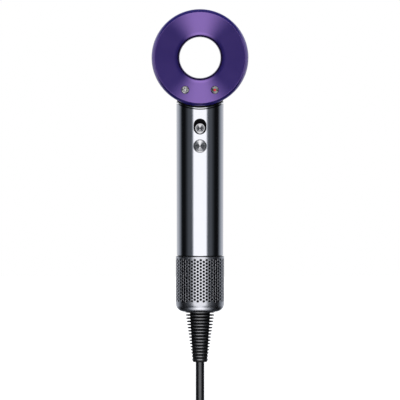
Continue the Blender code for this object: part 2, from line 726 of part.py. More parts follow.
def build():
    purple = material("satin_purple", (0.075, 0.022, 0.21), 0.35, 0.34)
    black = material("satin_black_plastic", (0.012, 0.012, 0.014), 0.0, 0.4)
    nickel = material("polished_nickel", (0.62, 0.62, 0.65), 1.0, 0.08)
    spun = material("spun_metal", (0.6, 0.6, 0.6), 1.0, 0.25)
    cage_metal = material("cage_nickel", (0.5, 0.5, 0.52), 1.0, 0.2)
    rubber = material("black_rubber", (0.01, 0.01, 0.01), 0.0, 0.45)
    white_ink = material("white_ink", (0.85, 0.85, 0.85), 0.0, 0.4)
    red_lens = material("red_lens", (0.6, 0.01, 0.015), 0.0, 0.2)
    inner_plastic = material("inner_plastic", (0.05, 0.05, 0.055), 0.0, 0.5)
    board_green = material("board_green", (0.01, 0.09, 0.03), 0.0, 0.4)
    mica = material("mica", (0.55, 0.5, 0.38), 0.0, 0.5)
    heating_wire = material("heating_wire", (0.45, 0.42, 0.4), 1.0, 0.35)
    steel = material("steel", (0.5, 0.5, 0.5), 1.0, 0.25)
    aluminium = material("aluminium", (0.7, 0.7, 0.72), 1.0, 0.3)
    magnet = material("magnet_coating", (0.25, 0.25, 0.27), 1.0, 0.3)
    lamination = material("steel_lamination", (0.3, 0.3, 0.32), 1.0, 0.45)
    foam = material("foam", (0.03, 0.03, 0.03), 0.0, 0.95)
    glass = material("glass_bead", (0.7, 0.72, 0.72), 0.0, 0.05)
    brass = material("brass_pins", (0.7, 0.5, 0.25), 1.0, 0.25)
    red_wire = material("silicone_wire", (0.4, 0.02, 0.02), 0.0, 0.5)
    strap = material("tie_strap", (0.02, 0.02, 0.022), 0.0, 0.7)

    rear_cover(purple)
    barrel_shell(black)
    bore_liner(purple)
    outlet_ring(black)
    outlet_parts(inner_plastic, magnet)
    heater(mica, heating_wire, mica, aluminium, glass)
    head_controls(board_green, inner_plastic, spun, white_ink, red_lens)
    neck(black, rubber, nickel)
    handle_tube(nickel)
    handle_controls(spun, inner_plastic, board_green)
    power_electronics(board_green, aluminium, red_wire)
    motor(aluminium, rubber, lamination, inner_plastic, steel, magnet)
    inlet_frame(inner_plastic)
    filter_cage(cage_metal)
    inlet_parts(inner_plastic, steel, foam, steel)
    strain_relief(rubber)
    cord(rubber, strap, brass)


def settle(obj):
    """Apply the piece's modifiers, then shade its round faces smooth and keep its corners sharp."""
    graph = bpy.context.evaluated_depsgraph_get()
    mesh = bpy.data.meshes.new_from_object(obj.evaluated_get(graph))
    mesh.name = obj.name
    obj.modifiers.clear()
    obj.data = mesh
    mesh.shade_smooth()
    mesh.set_sharp_from_angle(angle=math.radians(30.0))


def hang_on(name, at, members):
    """Parent the pieces of one rigid group to an empty that sits on the group's axis of motion."""
    empty = bpy.data.objects.new(name, None)
    empty.location = Vector(at) * MM
    empty.empty_display_size = 0.01
    PARTS.objects.link(empty)
    bpy.context.view_layer.update()
    for member in members:
        piece = bpy.data.objects[member]
        piece.parent = empty
        piece.matrix_parent_inverse = empty.matrix_world.inverted()


def group_pieces():
    left_x, button_z = face_spot(-1)
    right_x, _ = face_spot(1)
    moving = {
        "rotor_axis": ((0.0, 0.0, 0.0), ["impeller", "rotor_shaft", "rotor_magnet"]),
        "power_slider_axis": ((0.0, 0.0, SLIDER_REST_Z), ["power_slider"]),
        "cool_shot_axis": ((0.0, 0.0, COOL_Z), ["cool_shot_button"]),
        "airflow_axis": ((left_x, 0.0, button_z), ["airflow_button", "airflow_mark"]),
        "heat_axis": ((right_x, 0.0, button_z), ["heat_button", "heat_mark"]),
        "lock_ring_axis": ((0.0, 0.0, CAGE_TOP), ["filter_lock_ring"]),
        "cage_axis": ((0.0, 0.0, CAGE_TOP), ["filter_cage"]),
    }
    taken = [member for _, members in moving.values() for member in members]
    fixed = [piece.name for piece in PARTS.objects if piece.name not in taken]
    for name, (at, members) in moving.items():
        hang_on(name, at, members)
    hang_on("housing", (0.0, 0.0, 0.0), fixed)


clear_scene()
PARTS = new_collection("ring_head_hair_dryer")
CUTTERS = new_collection("cutters")
build()
bpy.context.view_layer.update()
for part in list(PARTS.objects):
    if part.type == "MESH":
        settle(part)
group_pieces()
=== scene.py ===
"""Final meshes, materials, light and camera of the ring-head hair dryer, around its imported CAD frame."""

import math

import bmesh
import bpy
from mathutils import Matrix, Vector


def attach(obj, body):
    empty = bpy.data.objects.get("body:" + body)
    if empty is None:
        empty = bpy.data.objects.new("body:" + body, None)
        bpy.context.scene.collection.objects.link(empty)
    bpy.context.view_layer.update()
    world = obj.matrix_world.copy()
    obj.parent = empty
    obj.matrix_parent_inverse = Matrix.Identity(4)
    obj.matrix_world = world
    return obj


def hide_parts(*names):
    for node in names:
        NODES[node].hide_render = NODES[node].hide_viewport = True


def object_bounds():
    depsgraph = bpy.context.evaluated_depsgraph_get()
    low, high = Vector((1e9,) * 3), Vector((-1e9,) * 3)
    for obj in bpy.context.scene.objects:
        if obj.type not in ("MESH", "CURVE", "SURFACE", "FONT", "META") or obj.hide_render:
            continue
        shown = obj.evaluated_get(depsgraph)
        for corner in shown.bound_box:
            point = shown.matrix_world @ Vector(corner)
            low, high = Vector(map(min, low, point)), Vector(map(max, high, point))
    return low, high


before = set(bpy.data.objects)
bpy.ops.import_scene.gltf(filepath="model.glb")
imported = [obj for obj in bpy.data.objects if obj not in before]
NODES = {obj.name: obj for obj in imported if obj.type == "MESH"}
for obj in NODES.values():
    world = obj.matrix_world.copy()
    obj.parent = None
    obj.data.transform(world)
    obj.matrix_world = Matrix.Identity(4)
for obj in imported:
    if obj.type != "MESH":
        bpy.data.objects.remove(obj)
CAD_BOX = [list(corner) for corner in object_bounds()]
MM = 0.001

# Dimensions in millimetres: outlines as in the CAD source, with finer curves and the cage's fine pattern
HEAD_Z = 110.0
HEAD_AT = (0.0, 0.0, HEAD_Z)
HEAD_RADIUS = 39.0
BORE_RADIUS = 16.75
FACE_SLOPE = math.radians(21.5)
CREST_RADIUS = 36.5
CREST_Y = -40.0
SHOULDER_CURVE = 10.0
SHOULDER_TURN = math.radians(40.0)
BORE_CURVE = 4.6
BORE_CURVE_START = BORE_RADIUS + BORE_CURVE * (1.0 - math.sin(SHOULDER_TURN))
SHOULDER_START = BORE_CURVE_START + SHOULDER_CURVE * (math.sin(SHOULDER_TURN) - math.sin(FACE_SLOPE))
RIM_CURVE = 21.4
RIM_START = math.radians(62.0)
FACE_BUTTON_X = 11.9
FACE_BUTTON_DROP = 25.9
FACE_BUTTON_REACH = math.hypot(FACE_BUTTON_X, FACE_BUTTON_DROP)
FACE_BUTTON_RADIUS = 2.95
FACE_BUTTON_GAP = 0.3
FACE_BUTTON_SURFACE = -36.85
SADDLE_RADIUS = 41.7
TUBE_TOP_RADIUS = 19.1
TUBE_FOOT_RADIUS = 18.8
TUBE_FOOT = -50.4
SLIDER_Z = 54.4
SLIDER_REST_Z = 53.05
COOL_Z = 38.6
CAGE_RADIUS = 19.5
CAGE_INNER = 18.7
CAGE_TOP = -51.0
CAGE_BOTTOM = -96.0
CAGE_FOOT_CURVE = 6.4
CAGE_HOLES_TOP = -52.3
CAGE_COLUMNS = 50
CAGE_HOLES_PER_COLUMN = 13
CAGE_PITCH = 2.66
CAGE_HOLE_RADIUS = 1.0
CAGE_CHAMFER = 0.08
RELIEF_TOP = -95.9
RELIEF_BOTTOM = -137.0
RELIEF_FINS = 16
FIN_RADIUS = 12.0
FIN_TAPER = 5.6
CORD_RADIUS = 3.5
HANK_TOP = -186.0
HANK_LENGTH = 165.4
HANK_HALF_WIDTH = 31.7
HANK_PINCH = 10.0
HANK_ENTRY = 45.6
HANK_EXIT = 50.9
HANK_Y = 14.4
LAYER = 7.2
LAYER_CLIMB = 44.0
TIE_HALF_DEPTH = 18.4
TIE_CORNER = 0.8
TIE_HALF_HEIGHT = 6.0
PLUG_TOP = -376.0
PLUG_FACE = -429.0
PLUG_RADIUS = 17.7
FLUTES = 24
FLUTE_DEPTH = 0.55
PIN_SPACING = 19.0
PIN_LENGTH = 19.0

# In metres
CAMERA_DISTANCE = 4.0
CAMERA_AIM_Z = -0.0055
FLOOR_SIZE = 18.0
FLOOR_GAP = 0.02
GROOVE_PITCH = 0.00045
GROOVE_DEPTH = 0.00012
GRAIN_DEPTH = 0.0001
THREAD_DEPTH = 0.0003

# -------------------- helpers


def facing(direction):
    """The rotation that turns local Z towards the direction and keeps local Y as upright as it can be."""
    ahead = Vector(direction).normalized()
    upright = Vector((0.0, 0.0, 1.0))
    if abs(ahead.dot(upright)) > 0.999:
        upright = Vector((0.0, 1.0, 0.0))
    right = upright.cross(ahead).normalized()
    above = ahead.cross(right)
    return Matrix((right, above, ahead)).transposed().to_4x4()


ALONG_HEAD = facing((0.0, 1.0, 0.0))
UPRIGHT = Matrix.Identity(4)


def polar(radius, degrees):
    angle = math.radians(degrees)
    return (radius * math.cos(angle), radius * math.sin(angle))


def put(name, data, turn=UPRIGHT, at=(0.0, 0.0, 0.0)):
    obj = bpy.data.objects.new(name + "_fine", data)
    bpy.context.scene.collection.objects.link(obj)
    obj.matrix_world = Matrix.Translation(Vector(at) * MM) @ turn
    return obj


def smooth(obj, degrees=28.0):
    obj.data.shade_smooth()
    obj.data.set_sharp_from_angle(angle=math.radians(degrees))
    return obj


def finish_piece(obj, surface, body="housing", nodes=None):
    """Give a piece its material and body; it stands for the given CAD nodes, or for the one of its name."""
    if nodes is None:
        nodes = [obj.name.removesuffix("_fine")]
    obj.data.materials.clear()
    obj.data.materials.append(surface)
    bpy.context.view_layer.update()
    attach(obj, body)
    if nodes:
        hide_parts(*nodes)
    return obj


def second_finish(obj, surface, chosen):
    """Give another material to the faces chosen by distance from the local Z axis and by height."""
    obj.data.materials.append(surface)
    number = len(obj.data.materials) - 1
    for face in obj.data.polygons:
        where = face.center / MM
        if chosen(math.hypot(where.x, where.y), where.z):
            face.material_index = number
    return obj


def rounded(profile, closed=True, segments=5):
    """Replace each (radius, height, fillet) corner of a profile by an arc of that fillet."""
    result = []
    count = len(profile)
    for i, corner in enumerate(profile):
        here = Vector(corner[:2])
        fillet = corner[2] if len(corner) > 2 else 0.0
        at_end = not closed and i in (0, count - 1)
        if not fillet or at_end:
            result.append(tuple(here))
            continue
        before = Vector(profile[i - 1][:2])
        after = Vector(profile[(i + 1) % count][:2])
        back = (before - here).normalized()
        ahead = (after - here).normalized()
        half = math.acos(max(-1.0, min(1.0, back.dot(ahead)))) / 2
        if half > math.radians(89.0):
            result.append(tuple(here))
            continue
        reach = min(fillet / math.tan(half), 0.45 * (before - here).length, 0.45 * (after - here).length)
        radius = reach * math.tan(half)
        centre = here + (back + ahead).normalized() * (radius / math.sin(half))
        start = here + back * reach - centre
        end = here + ahead * reach - centre
        sweep = math.atan2(start.cross(end), start.dot(end))
        for k in range(segments + 1):
            angle = sweep * k / segments
            turn = Matrix.Rotation(angle, 2)
            result.append(tuple(centre + turn @ start))
    return result


def join_rings(shape, pairs):
    """Add the faces between pairs of rings; a ring of one point is the piece's end on its axis."""
    for upper, lower in pairs:
        steps = max(len(upper), len(lower))
        for i in range(steps):
            j = (i + 1) % steps
            if len(upper) == 1:
                shape.faces.new((upper[0], lower[i], lower[j]))
            elif len(lower) == 1:
                shape.faces.new((upper[i], lower[0], upper[j]))
            else:
                shape.faces.new((upper[i], lower[i], lower[j], upper[j]))


def mesh_of(shape, name):
    """The mesh of a finished shape, with its faces turned outwards."""
    bmesh.ops.recalc_face_normals(shape, faces=shape.faces)
    mesh = bpy.data.meshes.new(name)
    shape.to_mesh(mesh)
    shape.free()
    return mesh


def turned(name, profile, turn=UPRIGHT, at=(0.0, 0.0, 0.0), steps=192, closed=True, sharp=28.0):
    """A turned piece from (radius, height) points, closed as a ring or capped at the axis."""
    shape = bmesh.new()
    rings = []
    for radius, height in profile:
        if radius < 1e-6:
            rings.append([shape.verts.new((0.0, 0.0, height * MM))])
            continue
        ring = []
        for i in range(steps):
            x, y = polar(radius * MM, 360.0 * i / steps)
            ring.append(shape.verts.new((x, y, height * MM)))
        rings.append(ring)
    join_rings(shape, zip(rings, rings[1:] + (rings[:1] if closed else [])))
    return smooth(put(name, mesh_of(shape, name), turn, at), sharp)


def lofted(name, lines, sharp=28.0):
    """A closed skin through loops of points in millimetres, the last loop joined to the first one."""
    shape = bmesh.new()
    rings = [[shape.verts.new(Vector(p) * MM) for p in line] for line in lines]
    join_rings(shape, zip(rings, rings[1:] + rings[:1]))
    return smooth(put(name, mesh_of(shape, name)), sharp)


def cut(target, cutter):
    """Take one piece out of another with a Boolean, and remove the cutter."""
    change = target.modifiers.new("cut", "BOOLEAN")
    change.solver = "EXACT"
    change.operation = "DIFFERENCE"
    change.object = cutter
    bpy.context.view_layer.update()
    graph = bpy.context.evaluated_depsgraph_get()
    mesh = bpy.data.meshes.new_from_object(target.evaluated_get(graph))
    target.modifiers.clear()
    target.data = mesh
    bpy.data.objects.remove(cutter)
    return target


def plug_cutter(radius, low, high, turn=UPRIGHT, at=(0.0, 0.0, 0.0), steps=96):
    """A plain round rod that cuts a hole."""
    profile = [(0.0, low), (radius, low), (radius, high), (0.0, high)]
    return turned("cutter", profile, turn, at, steps, closed=False)


def ideal_normals(obj, rule):
    """Give faces that lie on a known surface the exact normals of that surface, in local space."""
    mesh = obj.data
    normals = [(0.0, 0.0, 0.0)] * len(mesh.loops)
    for face in mesh.polygons:
        for index in face.loop_indices:
            where = mesh.vertices[mesh.loops[index].vertex_index].co
            exact = rule(where, face.normal)
            if exact is not None:
                normals[index] = tuple(exact)
    mesh.normals_split_custom_set(normals)


def radial(where, normal):
    """The rule for an upright round wall: its faces look straight away from the local Z axis."""
    outward = Vector((where.x, where.y, 0.0)).normalized()
    return outward if normal.dot(outward) > 0.99 else None


def prism(name, outline, depth, turn=UPRIGHT, at=(0.0, 0.0, 0.0)):
    """A closed solid with an outline in its local XY plane, centred on that plane."""
    shape = bmesh.new()
    low = [shape.verts.new((x * MM, y * MM, -depth * MM / 2)) for x, y in outline]
    high = [shape.verts.new((x * MM, y * MM, depth * MM / 2)) for x, y in outline]
    shape.faces.new(list(reversed(low)))
    shape.faces.new(high)
    for i in range(len(outline)):
        j = (i + 1) % len(outline)
        shape.faces.new((low[i], low[j], high[j], high[i]))
    return put(name, mesh_of(shape, name), turn, at)


def obround(width, height, count=48):
    """The outline of an upright slot with round ends."""
    radius = width / 2
    rise = height / 2 - radius
    top = [polar(radius, 180.0 * i / count) for i in range(count + 1)]
    bottom = [polar(radius, 180.0 + 180.0 * i / count) for i in range(count + 1)]
    return [(x, y + rise) for x, y in top] + [(x, y - rise) for x, y in bottom]


# -------------------- camera and cord come first

camera_data = bpy.data.cameras.new("camera")
camera_data.lens = 443.8
camera_data.sensor_width = 36.0
camera = bpy.data.objects.new("camera", camera_data)
bpy.context.scene.collection.objects.link(camera)
camera.location = (0.0, -CAMERA_DISTANCE, HEAD_Z * MM)
aim = Vector((0.0, 0.0, CAMERA_AIM_Z)) - camera.location
camera.rotation_mode = "QUATERNION"
camera.rotation_quaternion = aim.to_track_quat("-Z", "Y")
bpy.context.scene.camera = camera


def s_bend(start, end, steps=12):
    """Points from start down to end along two equal arcs, both ends pointing straight down."""
    start, end = Vector(start), Vector(end)
    across = Vector((end.x - start.x, end.y - start.y, 0.0))
    shift, drop = across.length, start.z - end.z
    across.normalize()
    angle = 2 * math.atan(shift / drop)
    radius = drop / (2 * math.sin(angle))
    points = []
    for k in range(1, steps + 1):
        t = angle * k / steps
        points.append((radius * (1 - math.cos(t)), radius * math.sin(t)))
    for k in range(1, steps + 1):
        t = angle * (1 - k / steps)
        points.append((shift - radius * (1 - math.cos(t)), drop - radius * math.sin(t)))
    return [start + across * side - Vector((0.0, 0.0, down)) for side, down in points]


def ease(value):
    """Rises smoothly from 0 to 1 as the value does."""
    value = max(0.0, min(1.0, value))
    return value * value * (3 - 2 * value)


def cord_route():
    """The cord's centreline: straight out, then seven and a half pinched turns of a hank, then the tail."""
    top = HANK_TOP - HANK_HALF_WIDTH
    foot = HANK_TOP - HANK_LENGTH + HANK_HALF_WIDTH
    middle, half = (top + foot) / 2, (top - foot) / 2
    inner = HANK_HALF_WIDTH - CORD_RADIUS - LAYER
    outer = HANK_HALF_WIDTH - CORD_RADIUS

    def pinch(z):
        return HANK_PINCH * (1 + math.cos(math.pi * (z - middle) / half)) / 2

    points = [Vector((0.0, 0.0, z)) for z in (-131.0, -137.0, -143.0, -150.0, top + HANK_ENTRY)]
    points += s_bend((0.0, 0.0, top + HANK_ENTRY), (-inner, 0.0, top))
    turns = [(inner, layer, 1) for layer in range(5)] + [(outer, 4, -1), (outer, 3, -1)]
    for number, (radius, layer, step) in enumerate(turns):
        last_inner = number == 4
        depth = layer * LAYER
        target = depth if last_inner else depth + step * LAYER
        for k in range(1, 17):
            z = top - 2 * half * k / 16
            points.append(Vector((pinch(z) - radius, depth, z)))
        for k in range(1, 13):
            x, z = polar(radius, 180.0 + 15.0 * k)
            points.append(Vector((x, depth, foot + z)))
        for k in range(1, 17):
            z = foot + 2 * half * k / 16
            shift = (target - depth) * ease((z - top + LAYER_CLIMB / 2) / LAYER_CLIMB)
            points.append(Vector((radius - pinch(z), depth + shift, z)))
        for k in range(1, 13):
            wide = radius + (LAYER * ease(k / 7.0) if last_inner else 0.0)
            x, z = polar(wide, 15.0 * k)
            climbed = LAYER_CLIMB / 2 + z if k < 6 else LAYER_CLIMB
            shift = (target - depth) * ease(climbed / LAYER_CLIMB)
            points.append(Vector((x, depth + shift, top + z)))
    depth = 2 * LAYER
    for k in range(1, 17):
        z = top - 2 * half * k / 16
        points.append(Vector((pinch(z) - outer, depth, z)))
    points += s_bend((-outer, depth, foot), (0.0, depth, foot - HANK_EXIT))
    points.append(Vector((0.0, depth, PLUG_TOP - 2.0)))
    return points


def make_cord():
    curve = bpy.data.curves.new("mains_cord", "CURVE")
    curve.dimensions = "3D"
    curve.bevel_depth = CORD_RADIUS * MM
    curve.bevel_resolution = 6
    curve.resolution_u = 3
    curve.use_fill_caps = True
    route = cord_route()
    spline = curve.splines.new("NURBS")
    spline.points.add(len(route) - 1)
    for point, where in zip(spline.points, route):
        point.co = (*(where * MM), 1.0)
    spline.order_u = 3
    spline.use_endpoint_u = True
    return put("mains_cord", curve)


cord = make_cord()

# -------------------- materials


def node(tree, kind, settings=(), links=(), values=()):
    """Add a node, set its properties, and fill its inputs from sockets or plain values."""
    made = tree.nodes.new(kind)
    for key, value in settings:
        setattr(made, key, value)
    for key, socket in links:
        tree.links.new(socket, made.inputs[key])
    for key, value in values:
        made.inputs[key].default_value = value
    return made


def noise(tree, where, scale, detail=3.0, roughness=0.55):
    values = [("Scale", scale), ("Detail", detail), ("Roughness", roughness)]
    return node(tree, "ShaderNodeTexNoise", links=[("Vector", where)], values=values).outputs["Fac"]


def remap(tree, value, low, high, new_low, new_high):
    values = [("From Min", low), ("From Max", high), ("To Min", new_low), ("To Max", new_high)]
    return node(tree, "ShaderNodeMapRange", links=[("Value", value)], values=values).outputs["Result"]


def tint(tree, share, first, second):
    """A colour between two others, in a Mix node."""
    mix = node(tree, "ShaderNodeMix", [("data_type", "RGBA")])
    tree.links.new(share, mix.inputs[0])
    mix.inputs[6].default_value = (*first, 1.0)
    mix.inputs[7].default_value = (*second, 1.0)
    return mix.outputs[2]


def stretched(tree, where, scale):
    mapping = node(tree, "ShaderNodeMapping", links=[("Vector", where)], values=[("Scale", scale)])
    return mapping.outputs["Vector"]


def wave(tree, where, kind, direction, scale, distortion, profile="SIN"):
    settings = [("wave_type", kind), (kind.lower() + "_direction", direction), ("wave_profile", profile)]
    values = [("Scale", scale), ("Distortion", distortion)]
    return node(tree, "ShaderNodeTexWave", settings, [("Vector", where)], values).outputs["Fac"]


def emboss(tree, shader, height, strength, distance):
    """Let a height bend the shader's normals."""
    values = [("Strength", strength), ("Distance", distance)]
    relief = node(tree, "ShaderNodeBump", links=[("Height", height)], values=values)
    tree.links.new(relief.outputs["Normal"], shader.inputs["Normal"])
    return relief


def surface(
    name,
    colour,
    metallic=0.0,
    roughness=0.45,
    vary=0.12,
    patch=60.0,
    grain=900.0,
    bump=0.05,
    spread=0.06,
    stretch=(1.0, 1.0, 1.0),
    spun=False,
    constants=(),
):
    """A physically based finish with patches of colour, uneven roughness and a fine grain."""
    made = bpy.data.materials.new(name)
    made.use_nodes = True
    tree = made.node_tree
    shader = tree.nodes["Principled BSDF"]
    shader.inputs["Metallic"].default_value = metallic
    for key, value in constants:
        shader.inputs[key].default_value = value
    where = node(tree, "ShaderNodeTexCoord").outputs["Object"]
    along = stretched(tree, where, stretch)
    patches = noise(tree, where, patch)
    dark = tuple(c * (1.0 - vary) for c in colour)
    light = tuple(min(1.0, c * (1.0 + vary)) for c in colour)
    tree.links.new(tint(tree, patches, dark, light), shader.inputs["Base Color"])
    fine = noise(tree, along, grain, 2.0)
    uneven = remap(tree, noise(tree, along, patch * 3.1), 0.3, 0.7, roughness - spread, roughness + spread)
    tree.links.new(uneven, shader.inputs["Roughness"])
    height = fine
    if spun:
        height = wave(tree, where, "RINGS", "Z", 0.31416 / GROOVE_PITCH, 0.1, "TRI")
        tangent = node(tree, "ShaderNodeTangent", [("direction_type", "RADIAL"), ("axis", "Z")])
        tree.links.new(tangent.outputs["Tangent"], shader.inputs["Tangent"])
    relief = emboss(tree, shader, height, bump, GROOVE_DEPTH if spun else GRAIN_DEPTH)
    if spun:
        relief.inputs["Filter Width"].default_value = 0.02
    return made


def woven(name, colour, pitch):
    """A strap of crossed threads in the two directions of the piece's surface."""
    made = surface(name, colour, roughness=0.8, vary=0.25, spread=0.05)
    tree = made.node_tree
    shader = tree.nodes["Principled BSDF"]
    where = node(tree, "ShaderNodeTexCoord").outputs["Object"]
    threads = [wave(tree, where, "BANDS", way, 0.31 / pitch, 0.4) for way in ("DIAGONAL", "Z")]
    both = node(tree, "ShaderNodeMath", [("operation", "MULTIPLY")], enumerate(threads))
    emboss(tree, shader, both.outputs[0], 0.6, THREAD_DEPTH)
    return made


def purple_paint(name, blue_flop):
    """Metallic lacquer with a clear coat and a blue sheen that shows more where it turns away."""
    sheen = [("Sheen Weight", blue_flop), ("Sheen Roughness", 1.0), ("Sheen Tint", (0.1, 0.08, 1.0, 1.0))]
    return surface(
        name,
        (0.272, 0.153, 0.42),
        metallic=0.9,
        roughness=0.17,
        vary=0.05,
        patch=25.0,
        grain=2600.0,
        bump=0.06,
        spread=0.02,
        constants=[("Coat Weight", 0.35), ("Coat Roughness", 0.2), *sheen],
    )


def spun_metal(name, colour, vary):
    """Turned metal with fine grooves round the local Z axis."""
    return surface(
        name,
        colour,
        metallic=1.0,
        roughness=0.2,
        vary=vary,
        spun=True,
        bump=1.0,
        spread=0.03,
        constants=[("Anisotropic", 0.5)],
    )


def glow(colour, strength):
    """The constants of a surface that gives some light of its own."""
    return [("Emission Color", (*colour, 1.0)), ("Emission Strength", strength)]


PURPLE = purple_paint("satin_purple", 0.5)
# A copy of the paint with little blue sheen, as painted shade: it keeps the bore and its tight edge darker
# than the face.
SHADED_BORE_PURPLE = purple_paint("satin_purple_bore_shaded", 0.12)
BLACK = surface("satin_black_plastic", (0.03, 0.03, 0.033), roughness=0.4, vary=0.15, grain=2200.0, bump=0.12)
NICKEL = surface(
    "polished_nickel",
    (0.93, 0.93, 0.95),
    metallic=1.0,
    roughness=0.13,
    vary=0.02,
    grain=420.0,
    bump=0.015,
    spread=0.02,
    stretch=(6.0, 6.0, 0.4),
)
SPUN = spun_metal("spun_metal", (0.8, 0.79, 0.78), 0.05)
DARK_SPUN = spun_metal("spun_metal_dark", (0.5, 0.49, 0.47), 0.08)
EDGE = surface("spun_metal_edge", (0.72, 0.71, 0.7), metallic=1.0, roughness=0.16, vary=0.05, bump=0.02)
CAGE = surface(
    "cage_nickel", (0.8, 0.8, 0.82), metallic=1.0, roughness=0.29, vary=0.06, patch=140.0, bump=0.04
)
RUBBER = surface(
    "black_rubber",
    (0.008, 0.008, 0.008),
    roughness=0.32,
    vary=0.3,
    grain=1400.0,
    bump=0.15,
    constants=[("IOR", 2.4), ("Specular IOR Level", 1.0)],
)
# A darker, duller copy of the rubber: on the neck gasket it is the dull black band under the head, between
# the relief's fins it is painted shade.
DULL_SHADED_RUBBER = surface(
    "black_rubber_dull_and_shaded", (0.006, 0.006, 0.006), roughness=0.7, vary=0.3, grain=1400.0, bump=0.3
)
CORD_SKIN = surface(
    "cord_rubber",
    (0.01, 0.01, 0.011),
    roughness=0.3,
    vary=0.3,
    patch=120.0,
    grain=1100.0,
    bump=0.1,
    constants=[("IOR", 2.1)],
)
# White ink with a faint emission, a painted glow that makes the fan lines brighter than their light alone
# would.
GLOWING_INK = surface(
    "white_ink", (0.86, 0.86, 0.85), roughness=0.4, vary=0.04, constants=glow((1.0, 1.0, 1.0), 0.25)
)
INNER = surface("inner_plastic", (0.035, 0.035, 0.038), roughness=0.5, vary=0.2, grain=700.0, bump=0.2)
BOARD = surface(
    "board_green", (0.012, 0.09, 0.035), roughness=0.35, vary=0.45, patch=420.0, grain=1500.0, bump=0.3
)
MICA = surface("mica", (0.56, 0.5, 0.36), roughness=0.42, vary=0.3, patch=180.0, bump=0.2)
HEATING = surface("heating_wire", (0.45, 0.4, 0.36), metallic=1.0, roughness=0.36, vary=0.25, patch=300.0)
STEEL = surface("steel", (0.56, 0.56, 0.57), metallic=1.0, roughness=0.26, vary=0.08, stretch=(1, 1, 12))
ALUMINIUM = surface("aluminium", (0.72, 0.72, 0.74), metallic=1.0, roughness=0.3, vary=0.06, patch=90.0)
MAGNET = surface("magnet_coating", (0.3, 0.3, 0.32), metallic=1.0, roughness=0.3, vary=0.1)
LAMINATION = surface(
    "steel_lamination",
    (0.3, 0.3, 0.32),
    metallic=1.0,
    roughness=0.45,
    vary=0.25,
    stretch=(1.0, 1.0, 40.0),
    bump=0.4,
)
FOAM = surface("foam", (0.03, 0.03, 0.032), roughness=0.93, vary=0.4, patch=500.0, grain=1600.0, bump=0.9)
GLASS = surface(
    "glass_bead", (0.7, 0.72, 0.72), roughness=0.08, vary=0.05, spread=0.02, constants=[("IOR", 1.5)]
)
BRASS = surface("brass_pins", (0.8, 0.62, 0.32), metallic=1.0, roughness=0.22, vary=0.08, patch=200.0)
SILICONE = surface("silicone_wire", (0.4, 0.02, 0.02), roughness=0.5, vary=0.15)
# Near-black with little shine, as painted shade: it fills the neck's gap and the slider's slot, where the
# parts lie in shadow.
RECESS_SHADE = surface(
    "recess_painted_shade", (0.0025, 0.0025, 0.003), roughness=0.6, vary=0.2, constants=[("Specular IOR Level", 0.15)]
)
GAUZE = surface(
    "filter_gauze", (0.02, 0.02, 0.021), roughness=0.6, vary=0.35, patch=700.0, grain=2400.0, bump=0.7
)
STRAP = woven("tie_strap", (0.022, 0.022, 0.024), 0.0008)
# Red for the heat button's dot, with a faint emission that is a painted glow: the dot is a mark, not a lamp.
RED_DOT_GLOW = surface(
    "red_lens",
    (0.75, 0.02, 0.025),
    roughness=0.16,
    vary=0.15,
    patch=500.0,
    spread=0.04,
    constants=glow((1.0, 0.03, 0.03), 0.25),
)

CARRIED_OVER = {
    "steel": ["rotor_shaft", "lower_bearing", "upper_bearing", "clamp_screw_left", "clamp_screw_right"],
    "aluminium": ["motor_bucket", "impeller", "board_capacitor", "thermal_fuse"],
    "board_green": ["head_circuit_board", "controls_board", "power_board"],
    "inner_plastic": ["outlet_funnel", "cord_clamp", "slider_track", "lower_spider", "upper_spider"],
    "black_rubber": ["lower_motor_mount", "upper_motor_mount"],
    "mica": ["heater_former", "mica_sleeve"],
    "heating_wire": ["heater_coil"],
    "glass_bead": ["thermistor"],
    "magnet_coating": ["attachment_magnets", "rotor_magnet"],
    "steel_lamination": ["stator"],
    "silicone_wire": ["heater_lead_left", "heater_lead_right"],
    "foam": ["inlet_foam"],
}
CARRIED_OVER["inner_plastic"] += ["airflow_switch", "heat_switch", "slide_switch", "cool_shot_switch"]
for finish_name, members in CARRIED_OVER.items():
    for member in members:
        # The slider's track takes the painted-shade black of the recesses.
        finish = RECESS_SHADE if member == "slider_track" else bpy.data.materials[finish_name]
        NODES[member].data.materials.clear()
        NODES[member].data.materials.append(finish)

# -------------------- head


def cone_height(radius):
    """The y of the sloping back face at a distance from the head's axis."""
    return FACE_BUTTON_SURFACE - (radius - FACE_BUTTON_REACH) * math.tan(FACE_SLOPE)


def shoulder_points(steps=14):
    """The way from the sloping face into the bore: a wide arc, and then a tighter one."""
    radius, height = SHOULDER_START, cone_height(SHOULDER_START)
    points = []
    for curve, start, end in (
        (SHOULDER_CURVE, FACE_SLOPE, SHOULDER_TURN),
        (BORE_CURVE, SHOULDER_TURN, math.pi / 2),
    ):
        for i in range(steps):
            angle = start + (end - start) * i / steps
            across = radius - curve * (math.sin(angle) - math.sin(start))
            points.append((across, height + curve * (math.cos(start) - math.cos(angle))))
        radius -= curve * (math.sin(end) - math.sin(start))
        height += curve * (math.cos(start) - math.cos(end))
    return points + [(radius, height)]


